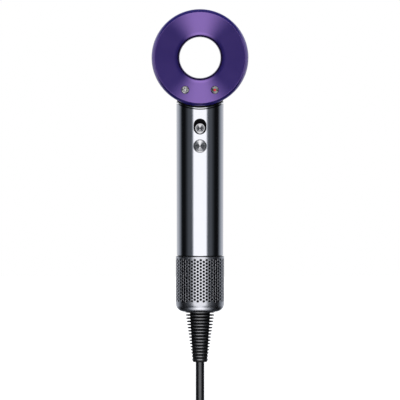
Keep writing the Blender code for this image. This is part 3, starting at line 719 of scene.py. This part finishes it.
def make_rear_cover():
    """The dished back: skirt, rounded rim, sloping face and shoulder, and the inside of the wall."""
    rim = []
    for i in range(21):
        angle = math.pi / 2 + (RIM_START - math.pi / 2) * i / 20
        across = HEAD_RADIUS - RIM_CURVE * (1.0 - math.sin(angle))
        rim.append((across, CREST_Y + RIM_CURVE * (math.cos(RIM_START) - math.cos(angle))))
    profile = [
        (HEAD_RADIUS, -27.0, 0.15),
        *rim[:-1],
        (CREST_RADIUS, CREST_Y, 0.3),
        *shoulder_points(),
        (BORE_RADIUS, -20.3, 0.1),
        (18.25, -20.3),
        (18.7, -25.0),
        (19.5, -28.6),
        (22.4, -31.6),
        (35.6, -37.0),
        (37.0, -36.6),
        (37.0, -27.0),
    ]
    cover = turned("rear_cover", rounded(profile, segments=14), ALONG_HEAD, HEAD_AT, 256)
    for side in (-1, 1):
        at = (side * FACE_BUTTON_X, 0.0, HEAD_Z - FACE_BUTTON_DROP)
        cut(cover, plug_cutter(FACE_BUTTON_RADIUS + FACE_BUTTON_GAP, -42.0, -30.0, ALONG_HEAD, at))
    slope = math.tan(FACE_SLOPE)

    def rule(where, normal):
        radius = math.hypot(where.x, where.y)
        exact = Vector((-where.x * slope, -where.y * slope, -radius)).normalized()
        on_cone = abs(where.z / MM - cone_height(radius / MM)) < 0.02
        return exact if on_cone and normal.dot(exact) > 0.995 else None

    smooth(cover)
    ideal_normals(cover, rule)
    return cover


def make_barrel():
    """The outer tube of the head, open below for the air that comes up the handle."""
    profile = [(HEAD_RADIUS, 50.0, 0.2), (HEAD_RADIUS, -26.7, 0.2), (37.0, -26.7), (37.0, 50.0)]
    barrel = turned("barrel_shell", rounded(profile), ALONG_HEAD, HEAD_AT, 256)
    cut(barrel, plug_cutter(14.5, 55.0, 90.0))
    smooth(barrel)
    ideal_normals(barrel, radial)
    return barrel


def head_button(name, side, body):
    """A button on the sloping face: a straight shaft that ends in a shallow dish parallel to the face."""
    slope = math.tan(FACE_SLOPE) / FACE_BUTTON_REACH
    back = [(0.0, -30.0), (1.2, -30.0), (1.2, -31.4), (3.9, -31.4), (3.9, -32.2), (FACE_BUTTON_RADIUS, -32.2)]
    face = [(2.95, 0.42), (2.93, 0.28), (2.86, 0.14), (2.75, 0.04), (2.6, 0.0), (2.45, 0.02)]
    face += [(2.2, 0.05), (1.7, 0.09), (1.1, 0.12), (0.5, 0.13), (0.0, 0.13)]
    shape = bmesh.new()
    steps = 96
    rings = []
    for number, (radius, height) in enumerate(back + face):
        tilted = number >= len(back)
        ring = []
        for i in range(1 if radius == 0.0 else steps):
            x, z = polar(radius, 360.0 * i / steps)
            y = height
            if tilted:
                y += FACE_BUTTON_SURFACE + (z * FACE_BUTTON_DROP - side * x * FACE_BUTTON_X) * slope
            ring.append(shape.verts.new(Vector((x, y, z)) * MM))
        rings.append(ring)
    join_rings(shape, zip(rings, rings[1:]))
    mesh = mesh_of(shape, name)
    mesh.transform(ALONG_HEAD.inverted())
    spot = (side * FACE_BUTTON_X, 0.0, HEAD_Z - FACE_BUTTON_DROP)
    button = smooth(put(name, mesh, ALONG_HEAD, spot), 35.0)
    return finish_piece(button, DARK_SPUN, body)


def face_frame(side, lift):
    """The place and turn of a mark on a head button: its Z axis stands out of the sloping face."""
    inward = Vector((-side * FACE_BUTTON_X, 0.0, FACE_BUTTON_DROP)).normalized()
    normal = Vector((0.0, -math.cos(FACE_SLOPE), 0.0)) + inward * math.sin(FACE_SLOPE)
    spot = Vector((side * FACE_BUTTON_X, FACE_BUTTON_SURFACE, HEAD_Z - FACE_BUTTON_DROP)) + normal * lift
    return facing(normal), spot


def make_fan_mark():
    """Three fan blades drawn as thin raised lines, from (distance, degrees) points of one blade."""
    curve = bpy.data.curves.new("fan_mark", "CURVE")
    curve.dimensions = "3D"
    curve.bevel_depth = 0.15 * MM
    curve.bevel_resolution = 3
    curve.resolution_u = 8
    blade = [(0.12, 205.0), (0.8, 172.0), (1.7, 158.0), (2.35, 146.0)]
    blade += [(2.42, 128.0), (2.42, 108.0), (2.15, 92.0), (1.2, 86.0), (0.5, 92.0)]
    for rotation in (0.0, -120.0, -240.0):
        spline = curve.splines.new("NURBS")
        spline.points.add(len(blade) - 1)
        for point, (radius, degrees) in zip(spline.points, blade):
            x, y = polar(radius * MM, degrees - 15.0 + rotation)
            point.co = (x, y, 0.0, 1.0)
        spline.order_u = 3
        spline.use_cyclic_u = True
    turn, spot = face_frame(-1, -0.02)
    return put("airflow_mark", curve, turn, spot)


COVER = make_rear_cover()
finish_piece(COVER, PURPLE)
# The tight curve into the bore takes the bore's copy of the paint, painted shade that darkens the bore's
# edge.
second_finish(COVER, SHADED_BORE_PURPLE, lambda radius, height: radius < BORE_CURVE_START)
finish_piece(make_barrel(), BLACK)
liner = [
    (17.35, 55.5, 0.2),
    (18.25, 53.0, 0.5),
    (18.25, -20.0),
    (BORE_RADIUS, -20.0, 0.1),
    (BORE_RADIUS, 55.2, 0.4),
]
liner = turned("bore_liner", rounded(liner), ALONG_HEAD, HEAD_AT, 256)
# The bore's lining takes the same painted-shade copy of the paint.
finish_piece(liner, SHADED_BORE_PURPLE)
ring = [
    (38.4, 57.0, 0.6),
    (HEAD_RADIUS, 56.0, 0.6),
    (HEAD_RADIUS, 50.3, 0.2),
    (36.2, 50.3),
    (36.2, 53.8),
    (29.8, 53.8),
    (29.8, 50.3),
    (22.8, 50.3),
    (21.5, 51.5),
    (21.5, 57.0, 1.3),
]
ring = turned("outlet_ring", rounded(ring), ALONG_HEAD, HEAD_AT, 256)
finish_piece(ring, BLACK)
head_button("airflow_button", -1, "airflow_control")
head_button("heat_button", 1, "heat_control")
# The fan mark takes the glowing ink: painted glow.
finish_piece(make_fan_mark(), GLOWING_INK, "airflow_control")
dot_turn, dot_spot = face_frame(1, 0.0)
dot = [(0.0, 0.2), (0.45, 0.17), (0.8, 0.08), (1.02, -0.06), (1.1, -0.25), (0.0, -0.25)]
dot = turned("heat_mark", dot, dot_turn, dot_spot, 64, closed=False, sharp=60.0)
# The heat dot takes the red with its painted glow.
finish_piece(dot, RED_DOT_GLOW, "heat_control")

# -------------------- neck and handle


def tube_radius(height):
    """The handle narrows slightly from its top at 84 mm to its foot."""
    share = (84.0 - height) / (84.0 - TUBE_FOOT)
    return TUBE_TOP_RADIUS + (TUBE_FOOT_RADIUS - TUBE_TOP_RADIUS) * share


def saddle_loop(radius, distance, steps=192):
    """Points around the handle's axis that lie at one distance from the head's axis."""
    loop = []
    for i in range(steps):
        x, y = polar(radius, 360.0 * i / steps)
        loop.append((x, y, HEAD_Z - math.sqrt(distance * distance - x * x)))
    return loop


def level_loop(radius, height, steps=192):
    return [(*polar(radius, 360.0 * i / steps), height) for i in range(steps)]


def saddle_band(name, outer, inner, top, bottom, edge=0.12):
    """A band round the neck whose edges follow the head, with a small chamfer."""
    lines = [
        saddle_loop(inner, bottom),
        saddle_loop(inner, top),
        saddle_loop(outer - edge, top),
        saddle_loop(outer, top + edge),
        saddle_loop(outer, bottom - edge),
        saddle_loop(outer - edge, bottom),
    ]
    return lofted(name, lines)


def make_handle():
    """The tube, with its top edge along the head's curve, the slider's slot and the round button's hole."""
    lines = [level_loop(17.6, TUBE_FOOT), saddle_loop(17.9, SADDLE_RADIUS)]
    for inset, drop in ((0.45, 0.0), (0.25, 0.03), (0.1, 0.12), (0.02, 0.28), (0.0, 0.45)):
        lines.append(saddle_loop(TUBE_TOP_RADIUS - 0.03 - inset, SADDLE_RADIUS + drop))
    for height in (64.0, 58.0, 45.0, 30.0, 10.0, -20.0, TUBE_FOOT + 0.4):
        lines.append(level_loop(tube_radius(height), height))
    lines.append(level_loop(TUBE_FOOT_RADIUS - 0.12, TUBE_FOOT + 0.12))
    lines.append(level_loop(TUBE_FOOT_RADIUS - 0.4, TUBE_FOOT))
    handle = lofted("handle_tube", lines)
    slot = prism("cutter", obround(10.4, 12.9), 14.0, facing((0.0, -1.0, 0.0)), (0.0, -19.0, SLIDER_Z))
    cut(handle, slot)
    cut(handle, plug_cutter(5.4, -26.0, -12.0, ALONG_HEAD, (0.0, 0.0, COOL_Z), 128))

    def rule(where, normal):
        radius = math.hypot(where.x, where.y) / MM
        on_side = abs(radius - tube_radius(where.z / MM)) < 0.035
        return radial(where, normal) if on_side else None

    smooth(handle)
    ideal_normals(handle, rule)
    return handle


def dish(radius, height, depth, count=10):
    """Profile points of a hollow that rises from its rim to nothing at the axis."""
    points = []
    for i in range(count + 1):
        share = 1.0 - i / count
        points.append((radius * share, height + depth * (1.0 - share * share)))
    return points


def make_slider():
    """The round knob of the power switch, with a rolled edge and a shallow dish."""
    profile = [
        (0.0, -12.7),
        (1.3, -12.7),
        (1.3, -16.4),
        (4.75, -16.4, 0.1),
        *[(3.2 + x, -18.35 - y) for x, y in (polar(1.55, 9.0 * i) for i in range(11))],
        *dish(3.0, -19.9, 0.3),
    ]
    at = (0.0, 0.0, SLIDER_REST_Z)
    return turned("power_slider", rounded(profile, False), ALONG_HEAD, at, 128, closed=False, sharp=40.0)


def make_cool_button():
    """The round button below the slider, with a flange behind the handle's wall and a dished face."""
    profile = [
        (0.0, -13.2),
        (1.5, -13.2),
        (1.5, -14.8),
        (5.9, -14.8),
        (5.9, -15.7),
        (5.05, -15.7),
        (5.05, -19.6, 0.45),
        (4.6, -19.6, 0.15),
        *dish(4.5, -19.6, 0.4),
    ]
    at = (0.0, 0.0, COOL_Z)
    return turned("cool_shot_button", rounded(profile, False), ALONG_HEAD, at, 128, closed=False, sharp=40.0)


core = [level_loop(14.8, 62.0), saddle_loop(14.8, 39.3), saddle_loop(17.3, 39.3), level_loop(17.3, 62.0)]
# The neck's core is painted-shade black, the dark gap between the head and the collar.
finish_piece(lofted("neck_core", core), RECESS_SHADE)
gasket = saddle_band("neck_gasket", 18.7, 17.6, 39.3, 40.2)
# The gasket takes the dull rubber, the dark band under the head.
finish_piece(gasket, DULL_SHADED_RUBBER)
collar = saddle_band("neck_collar", TUBE_TOP_RADIUS, 17.6, 40.4, 41.2)
finish_piece(collar, NICKEL)
finish_piece(make_handle(), NICKEL)
slider = finish_piece(make_slider(), SPUN, "power_slider_knob")
second_finish(slider, EDGE, lambda radius, height: radius > 3.1)
finish_piece(make_cool_button(), SPUN, "cool_shot")

# -------------------- air inlet


def make_cage():
    """The perforated sleeve: columns of round holes, each column offset by half a pitch from the next."""
    shape = bmesh.new()
    half_steps = 2 * CAGE_COLUMNS
    half_pitch = CAGE_PITCH / 2
    rows = 2 * CAGE_HOLES_PER_COLUMN + 1
    holes = {}

    def wall(radius, outward):
        grid = {}

        def spot(i, j):
            i %= half_steps
            if (i, j) not in grid:
                x, y = polar(radius, 360.0 * (i - 0.5) / half_steps)
                grid[i, j] = shape.verts.new(Vector((x, y, CAGE_HOLES_TOP - j * half_pitch)) * MM)
            return grid[i, j]

        def face(*corners):
            made = shape.faces.new(corners if outward else tuple(reversed(corners)))
            made.smooth = True

        for column in range(CAGE_COLUMNS):
            middle = 2 * column
            first = column % 2
            if first:
                face(spot(middle - 1, 0), spot(middle - 1, 1), spot(middle, 1), spot(middle, 0))
                face(spot(middle, 0), spot(middle, 1), spot(middle + 1, 1), spot(middle + 1, 0))
            else:
                last = rows - 1
                face(spot(middle - 1, last), spot(middle - 1, rows), spot(middle, rows), spot(middle, last))
                face(spot(middle, last), spot(middle, rows), spot(middle + 1, rows), spot(middle + 1, last))
            for hole in range(CAGE_HOLES_PER_COLUMN):
                j = first + 2 * hole
                border = [(1, 1), (1, 0), (0, 0), (-1, 0), (-1, 1), (-1, 2), (0, 2), (1, 2)]
                border = [spot(middle + i, j + k) for i, k in border]
                centre = Vector((*polar(radius, 360.0 * (middle - 0.5) / half_steps), 0.0))
                sideways = Vector((-centre.y, centre.x, 0.0)).normalized()
                centre.z = CAGE_HOLES_TOP - (j + 1) * half_pitch

                def circle(reach, depth):
                    made = []
                    for k in range(16):
                        x, z = polar(reach, 22.5 * k)
                        point = centre + sideways * x
                        flat = Vector((point.x, point.y, 0.0)).normalized() * (radius - depth)
                        made.append(shape.verts.new(Vector((flat.x, flat.y, centre.z + z)) * MM))
                    return made

                rim = circle(CAGE_HOLE_RADIUS + (CAGE_CHAMFER if outward else 0.0), 0.0)
                for k in range(8):
                    a, b = border[k], border[(k + 1) % 8]
                    r0, r1, r2 = rim[2 * k], rim[2 * k + 1], rim[(2 * k + 2) % 16]
                    face(a, b, r1)
                    face(a, r1, r0)
                    face(b, r2, r1)
                if outward:
                    throat = circle(CAGE_HOLE_RADIUS, CAGE_CHAMFER)
                    for k in range(16):
                        m = (k + 1) % 16
                        face(rim[k], rim[m], throat[m], throat[k])
                    rim = throat
                holes.setdefault((column, hole), []).append(rim)
        return [grid[i, 0] for i in range(half_steps)], [grid[i, rows] for i in range(half_steps)]

    outer_top, outer_foot = wall(CAGE_RADIUS, True)
    inner_top, inner_foot = wall(CAGE_INNER, False)
    for outer_rim, inner_rim in holes.values():
        for k in range(16):
            m = (k + 1) % 16
            shape.faces.new((outer_rim[k], outer_rim[m], inner_rim[m], inner_rim[k]))

    def skin(outer_ring, profile, inner_ring):
        rings = [outer_ring]
        for radius, height in profile:
            ring = []
            for i in range(half_steps):
                x, y = polar(radius, 360.0 * (i - 0.5) / half_steps)
                ring.append(shape.verts.new(Vector((x, y, height)) * MM))
            rings.append(ring)
        rings.append(inner_ring)
        join_rings(shape, zip(rings, rings[1:]))

    rim = [(CAGE_RADIUS, CAGE_TOP - 0.4), (19.44, CAGE_TOP - 0.12), (19.25, CAGE_TOP), (18.8, CAGE_TOP)]
    rim.append((CAGE_INNER, CAGE_TOP - 0.1))
    skin(outer_top, rim, inner_top)
    foot_centre = CAGE_RADIUS - CAGE_FOOT_CURVE
    foot = []
    for i in range(13):
        across, down = polar(CAGE_FOOT_CURVE, 7.5 * i)
        foot.append((foot_centre + across, CAGE_BOTTOM + CAGE_FOOT_CURVE - down))
    foot += [(12.95, CAGE_BOTTOM), (12.75, CAGE_BOTTOM + 0.2), (12.75, CAGE_BOTTOM + 0.9)]
    for i in range(12, -1, -1):
        across, down = polar(CAGE_INNER - foot_centre, 7.5 * i)
        foot.append((foot_centre + across, CAGE_BOTTOM + CAGE_FOOT_CURVE + 0.1 - down))
    skin(outer_foot, foot, inner_foot)
    cage = smooth(put("filter_cage", mesh_of(shape, "filter_cage")), 40.0)

    def rule(where, normal):
        between = CAGE_HOLES_TOP + 1.5 > where.z / MM > CAGE_BOTTOM + CAGE_FOOT_CURVE - 0.1
        return radial(where, normal) if between else None

    ideal_normals(cage, rule)
    return cage


def make_inlet_frame():
    """The inner sleeve that carries the filter, with four pairs of tall windows for the air."""
    profile = [
        (17.2, -49.2, 0.15),
        (17.2, -51.1, 0.15),
        (16.2, -51.1),
        (16.2, -93.0, 0.3),
        (12.2, -93.0),
        (12.2, -95.6, 0.3),
        (3.9, -95.6),
        (3.9, -91.0),
        (15.0, -91.0),
        (15.0, -49.2),
    ]
    carrier = turned("inlet_frame", rounded(profile), steps=128)
    for i in range(4):
        window = prism("cutter", obround(7.0, 31.0, 12), 40.0)
        turn = Matrix.Rotation(math.radians(45.0 * i + 22.5), 4, "Z") @ facing((1.0, 0.0, 0.0))
        window.matrix_world = Matrix.Translation(Vector((0.0, 0.0, -72.0)) * MM) @ turn
        cut(carrier, window)
    smooth(carrier)
    ideal_normals(carrier, radial)
    return carrier


finish_piece(make_cage(), CAGE, "cage")
finish_piece(make_inlet_frame(), INNER)
lock = rounded([(18.4, -54.4, 0.2), (17.5, -54.4), (17.5, -51.4), (18.4, -51.4, 0.2)])
finish_piece(turned("filter_lock_ring", lock), INNER, "lock_ring")
gauze = rounded([(16.95, -91.6, 0.1), (16.5, -91.6), (16.5, -52.0), (16.95, -52.0, 0.1)])
finish_piece(turned("mesh_filter", gauze, steps=128), GAUZE)

# -------------------- cord and what is on it


def fin_radius(height):
    """The fins' edge narrows evenly from the first one to the last."""
    last = RELIEF_TOP + (RELIEF_BOTTOM - RELIEF_TOP) * (RELIEF_FINS - 1) / RELIEF_FINS
    return FIN_RADIUS - FIN_TAPER * min(1.0, (RELIEF_TOP - height) / (RELIEF_TOP - last))


def make_relief():
    """The tapered sleeve, with thin rounded fins."""
    pitch = (RELIEF_TOP - RELIEF_BOTTOM) / RELIEF_FINS
    profile = [(3.8, RELIEF_TOP)]
    for i in range(RELIEF_FINS):
        top = RELIEF_TOP - i * pitch
        share = i / (RELIEF_FINS - 1)
        fin = FIN_RADIUS - FIN_TAPER * share
        inside = 8.2 - 2.4 * share
        if i:
            profile.append((inside + 0.1, top, 0.3))
        profile += [(fin, top - 0.02 * pitch, 0.3), (fin - 0.1, top - 0.34 * pitch, 0.3)]
        if i < RELIEF_FINS - 1:
            profile.append((inside, top - 0.37 * pitch, 0.3))
    profile += [(5.6, RELIEF_BOTTOM, 0.4), (3.8, RELIEF_BOTTOM, 0.2)]
    return turned("strain_relief", rounded(profile, segments=3), steps=96, sharp=50.0)


def tie_loop(out, rise, count=8):
    """A rounded rectangle round the hank, so far out from the strap's inside and so high above its middle."""
    radius = TIE_CORNER + out
    reach_x = HANK_HALF_WIDTH - HANK_PINCH + 1.1 - TIE_CORNER
    reach_y = TIE_HALF_DEPTH - TIE_CORNER
    height = HANK_TOP - HANK_LENGTH / 2 + rise
    loop = []
    for sign_x, sign_y, start in ((1, 1, 0.0), (-1, 1, 90.0), (-1, -1, 180.0), (1, -1, 270.0)):
        for i in range(count + 1):
            x, y = polar(radius, start + 90.0 * i / count)
            loop.append((sign_x * reach_x + x, HANK_Y + sign_y * reach_y + y, height))
    return loop


def make_tie():
    """The strap that holds the hank, with rounded outer edges."""
    top = TIE_HALF_HEIGHT
    section = [(0.0, -top), (0.0, top), (0.8, top), (1.1, top - 0.2), (1.2, top - 0.6)]
    section += [(1.2, 0.6 - top), (1.1, 0.2 - top), (0.8, -top)]
    return lofted("cord_tie", [tie_loop(out, rise) for out, rise in section], sharp=40.0)


def make_plug():
    """A round-bodied plug with a finger grip of upright flutes, drawn from its profile."""
    profile = [
        (0.0, PLUG_TOP),
        (4.6, PLUG_TOP, 0.5),
        (5.6, PLUG_TOP - 13.0, 3.0),
        (7.6, PLUG_TOP - 18.0, 4.0),
        (13.2, PLUG_TOP - 24.0, 5.0),
        (16.8, PLUG_TOP - 29.0, 5.0),
        (PLUG_RADIUS, PLUG_TOP - 34.0, 4.0),
        (PLUG_RADIUS, PLUG_FACE + 11.0),
        (PLUG_RADIUS, PLUG_FACE + 5.0),
        (PLUG_RADIUS, PLUG_FACE, 1.0),
        (0.0, PLUG_FACE),
    ]
    points = rounded(profile, False, segments=8)
    dense = []
    for (r0, z0), (r1, z1) in zip(points, points[1:]):
        pieces = max(1, int(math.hypot(r1 - r0, z1 - z0) / 1.2)) if r0 > 0 and r1 > 0 else 1
        dense += [(r0 + (r1 - r0) * k / pieces, z0 + (z1 - z0) * k / pieces) for k in range(pieces)]
    dense.append(points[-1])
    plug = turned("plug_body", dense, at=(0.0, HANK_Y, 0.0), steps=192, closed=False, sharp=60.0)
    for vertex in plug.data.vertices:
        radius = math.hypot(vertex.co.x, vertex.co.y)
        height = vertex.co.z / MM
        if radius < 3.0 * MM or height < PLUG_FACE + 0.5:
            continue
        share = ease((height - PLUG_FACE - 4.0) / 4.0) * ease((PLUG_FACE + 27.0 - height) / 6.0)
        angle = math.atan2(vertex.co.y, vertex.co.x)
        flute = FLUTE_DEPTH * share * (0.5 + 0.5 * math.cos(FLUTES * angle)) ** 2
        vertex.co.x *= 1.0 - flute * MM / radius
        vertex.co.y *= 1.0 - flute * MM / radius
    return plug


def make_pin(side):
    foot = PLUG_FACE - PIN_LENGTH
    top = PLUG_FACE - 0.3
    profile = [(0.0, top), (2.4, top), (2.4, foot + 0.9, 0.3), (1.5, foot, 0.7), (0.0, foot)]
    at = (side * PIN_SPACING / 2, HANK_Y, 0.0)
    name = "plug_pin_" + ("left" if side < 0 else "right")
    pin = turned(name, rounded(profile, False), at=at, steps=64, closed=False)
    return finish_piece(pin, BRASS)


sleeve = finish_piece(make_relief(), RUBBER)
# The relief's core between the fins takes the darker dull rubber as painted shade, so the gaps read darker
# than the glossy fins.
second_finish(sleeve, DULL_SHADED_RUBBER, lambda radius, height: radius < fin_radius(height) - 0.35)
stub = [(0.0, -80.7), (CORD_RADIUS, -80.7, 0.2), (CORD_RADIUS, -130.6, 0.2), (0.0, -130.6)]
stub = turned("cord_inside_relief", rounded(stub, False), steps=48, closed=False)
finish_piece(stub, CORD_SKIN, nodes=[])
finish_piece(cord, CORD_SKIN, nodes=["cord_lead", "cord_hank", "cord_tail"])
tie = finish_piece(make_tie(), STRAP)
plug = finish_piece(make_plug(), RUBBER)
pins = [make_pin(side) for side in (-1, 1)]
[plug, tie] + pins

# -------------------- floor and light


def make_floor():
    """A plain pale floor below the lowest point of the cord."""
    mesh = bpy.data.meshes.new("floor")
    half = FLOOR_SIZE / 2
    corners = [(-half, -half, 0), (half, -half, 0), (half, half, 0), (-half, half, 0)]
    mesh.from_pydata(corners, [], [(0, 1, 2, 3)])
    floor = bpy.data.objects.new("floor", mesh)
    bpy.context.scene.collection.objects.link(floor)
    floor.location = (0.0, 0.0, CAD_BOX[0][2] - FLOOR_GAP)
    light = glow((1.0, 1.0, 1.0), 0.9)
    pale = surface(
        "pale_floor", (0.9, 0.9, 0.9), roughness=0.8, vary=0.01, patch=2.0, bump=0.0, constants=light
    )
    mesh.materials.append(pale)
    floor.visible_glossy = False
    floor.visible_diffuse = False
    return floor


class Field:
    """A number at each direction of the world, built from Math nodes."""

    tree = None

    def __init__(self, socket):
        self.socket = socket

    @classmethod
    def math(cls, operation, *values):
        made = cls.tree.nodes.new("ShaderNodeMath")
        made.operation = operation
        for i, value in enumerate(values):
            if isinstance(value, Field):
                cls.tree.links.new(value.socket, made.inputs[i])
            else:
                made.inputs[i].default_value = value
        return cls(made.outputs[0])

    def __add__(self, other):
        return Field.math("ADD", self, other)

    def __mul__(self, other):
        return Field.math("MULTIPLY", self, other)

    def __truediv__(self, other):
        return Field.math("DIVIDE", self, other)

    def size(self):
        return Field.math("ABSOLUTE", self)

    def step(self, low, high):
        """0 below low, 1 above high and smooth between; with low above high it falls instead."""
        made = Field.tree.nodes.new("ShaderNodeMapRange")
        made.interpolation_type = "SMOOTHSTEP"
        Field.tree.links.new(self.socket, made.inputs["Value"])
        rising = low < high
        made.inputs["From Min"].default_value = low if rising else high
        made.inputs["From Max"].default_value = high if rising else low
        made.inputs["To Min"].default_value = 0.0 if rising else 1.0
        made.inputs["To Max"].default_value = 1.0 if rising else 0.0
        return Field(made.outputs["Result"])


# Brightness of the studio at (degrees from straight behind the camera, strength) stops, above and below
BAND_STRENGTHS = [(0, 1.08), (38, 1.08), (46, 1.12), (55, 1.3), (64, 1.5), (76, 1.3), (86, 0.8)]
BAND_STRENGTHS += [(95, 0.2), (103, 0.05), (180, 0.06)]
# The same at eye level, where the dark gaps shape the handle
LEVEL_STRENGTHS = [(0, 1.0), (29, 0.95), (34, 0.5), (38, 0.14), (43, 0.06), (50, 0.07), (57, 0.065)]
LEVEL_STRENGTHS += [(68, 0.026), (78, 0.002), (99, 0.001), (106, 0.045), (119, 0.24)]
LEVEL_STRENGTHS += [(144, 0.52), (180, 0.66)]


def strengths(angle, stops):
    """A field read from (degrees, strength) stops along a field that goes from 0 to 1 over 180 degrees."""
    ramp = node(Field.tree, "ShaderNodeValToRGB", links=[("Fac", angle.socket)])
    elements = ramp.color_ramp.elements
    while len(elements) < len(stops):
        elements.new(0.5)
    for element, (degrees, strength) in zip(elements, stops):
        element.position = degrees / 180.0
        element.color = (strength, strength, strength, 1.0)
    return Field(ramp.outputs["Color"])


def make_studio():
    """Soft white light: a panel behind the camera, light above, below and at eye level, and a white back."""
    world = bpy.data.worlds.new("studio")
    bpy.context.scene.world = world
    world.use_nodes = True
    tree = world.node_tree
    tree.nodes.clear()
    Field.tree = tree
    coordinates = node(tree, "ShaderNodeTexCoord").outputs["Generated"]
    parts = node(tree, "ShaderNodeSeparateXYZ", links=[("Vector", coordinates)])
    x, y, z = (Field(parts.outputs[i]) for i in range(3))
    ahead = Field.math("MAXIMUM", y * -1.0, 0.001)
    front = (y * -1.0).step(0.0, 0.05)
    panel = (x.size() / ahead).step(0.71, 0.6) * (z.size() / ahead).step(0.52, 0.36) * front * 1.05
    off_axis = Field.math("MAXIMUM", Field.math("SQRT", x * x + z * z), 0.001)
    upright = (x.size() / off_axis).step(0.78, 0.12)
    polar_angle = Field.math("ARCCOSINE", y * -1.0) / math.pi
    bands = strengths(polar_angle, BAND_STRENGTHS) * upright
    reach = z.size().step(0.45, 0.2) + z.size().step(0.8, 0.35) * front
    around = strengths(polar_angle, LEVEL_STRENGTHS) * Field.math("MINIMUM", reach, 1.0)
    total = Field.math("MAXIMUM", panel, Field.math("MAXIMUM", bands, around))
    cool = tint(tree, total.step(0.0, 0.8).socket, (0.88, 0.98, 1.15), (0.97, 0.98, 1.03))
    path = node(tree, "ShaderNodeLightPath")
    later = Field(path.outputs["Ray Depth"]).step(2.1, 2.9) * -0.8 + 1.0
    strength = (total + 0.003) * later
    light = node(tree, "ShaderNodeBackground", links=[("Color", cool), ("Strength", strength.socket)])
    white = node(tree, "ShaderNodeBackground", values=[("Color", (1.0, 1.0, 1.0, 1.0)), ("Strength", 1.0)])
    seen = path.outputs["Is Camera Ray"]
    both = node(tree, "ShaderNodeMixShader", links=[(0, seen), (1, light.outputs[0]), (2, white.outputs[0])])
    node(tree, "ShaderNodeOutputWorld", links=[("Surface", both.outputs[0])])


make_floor()
make_studio()
bpy.context.scene.view_settings.view_transform = "Standard"

bpy.context.view_layer.update()
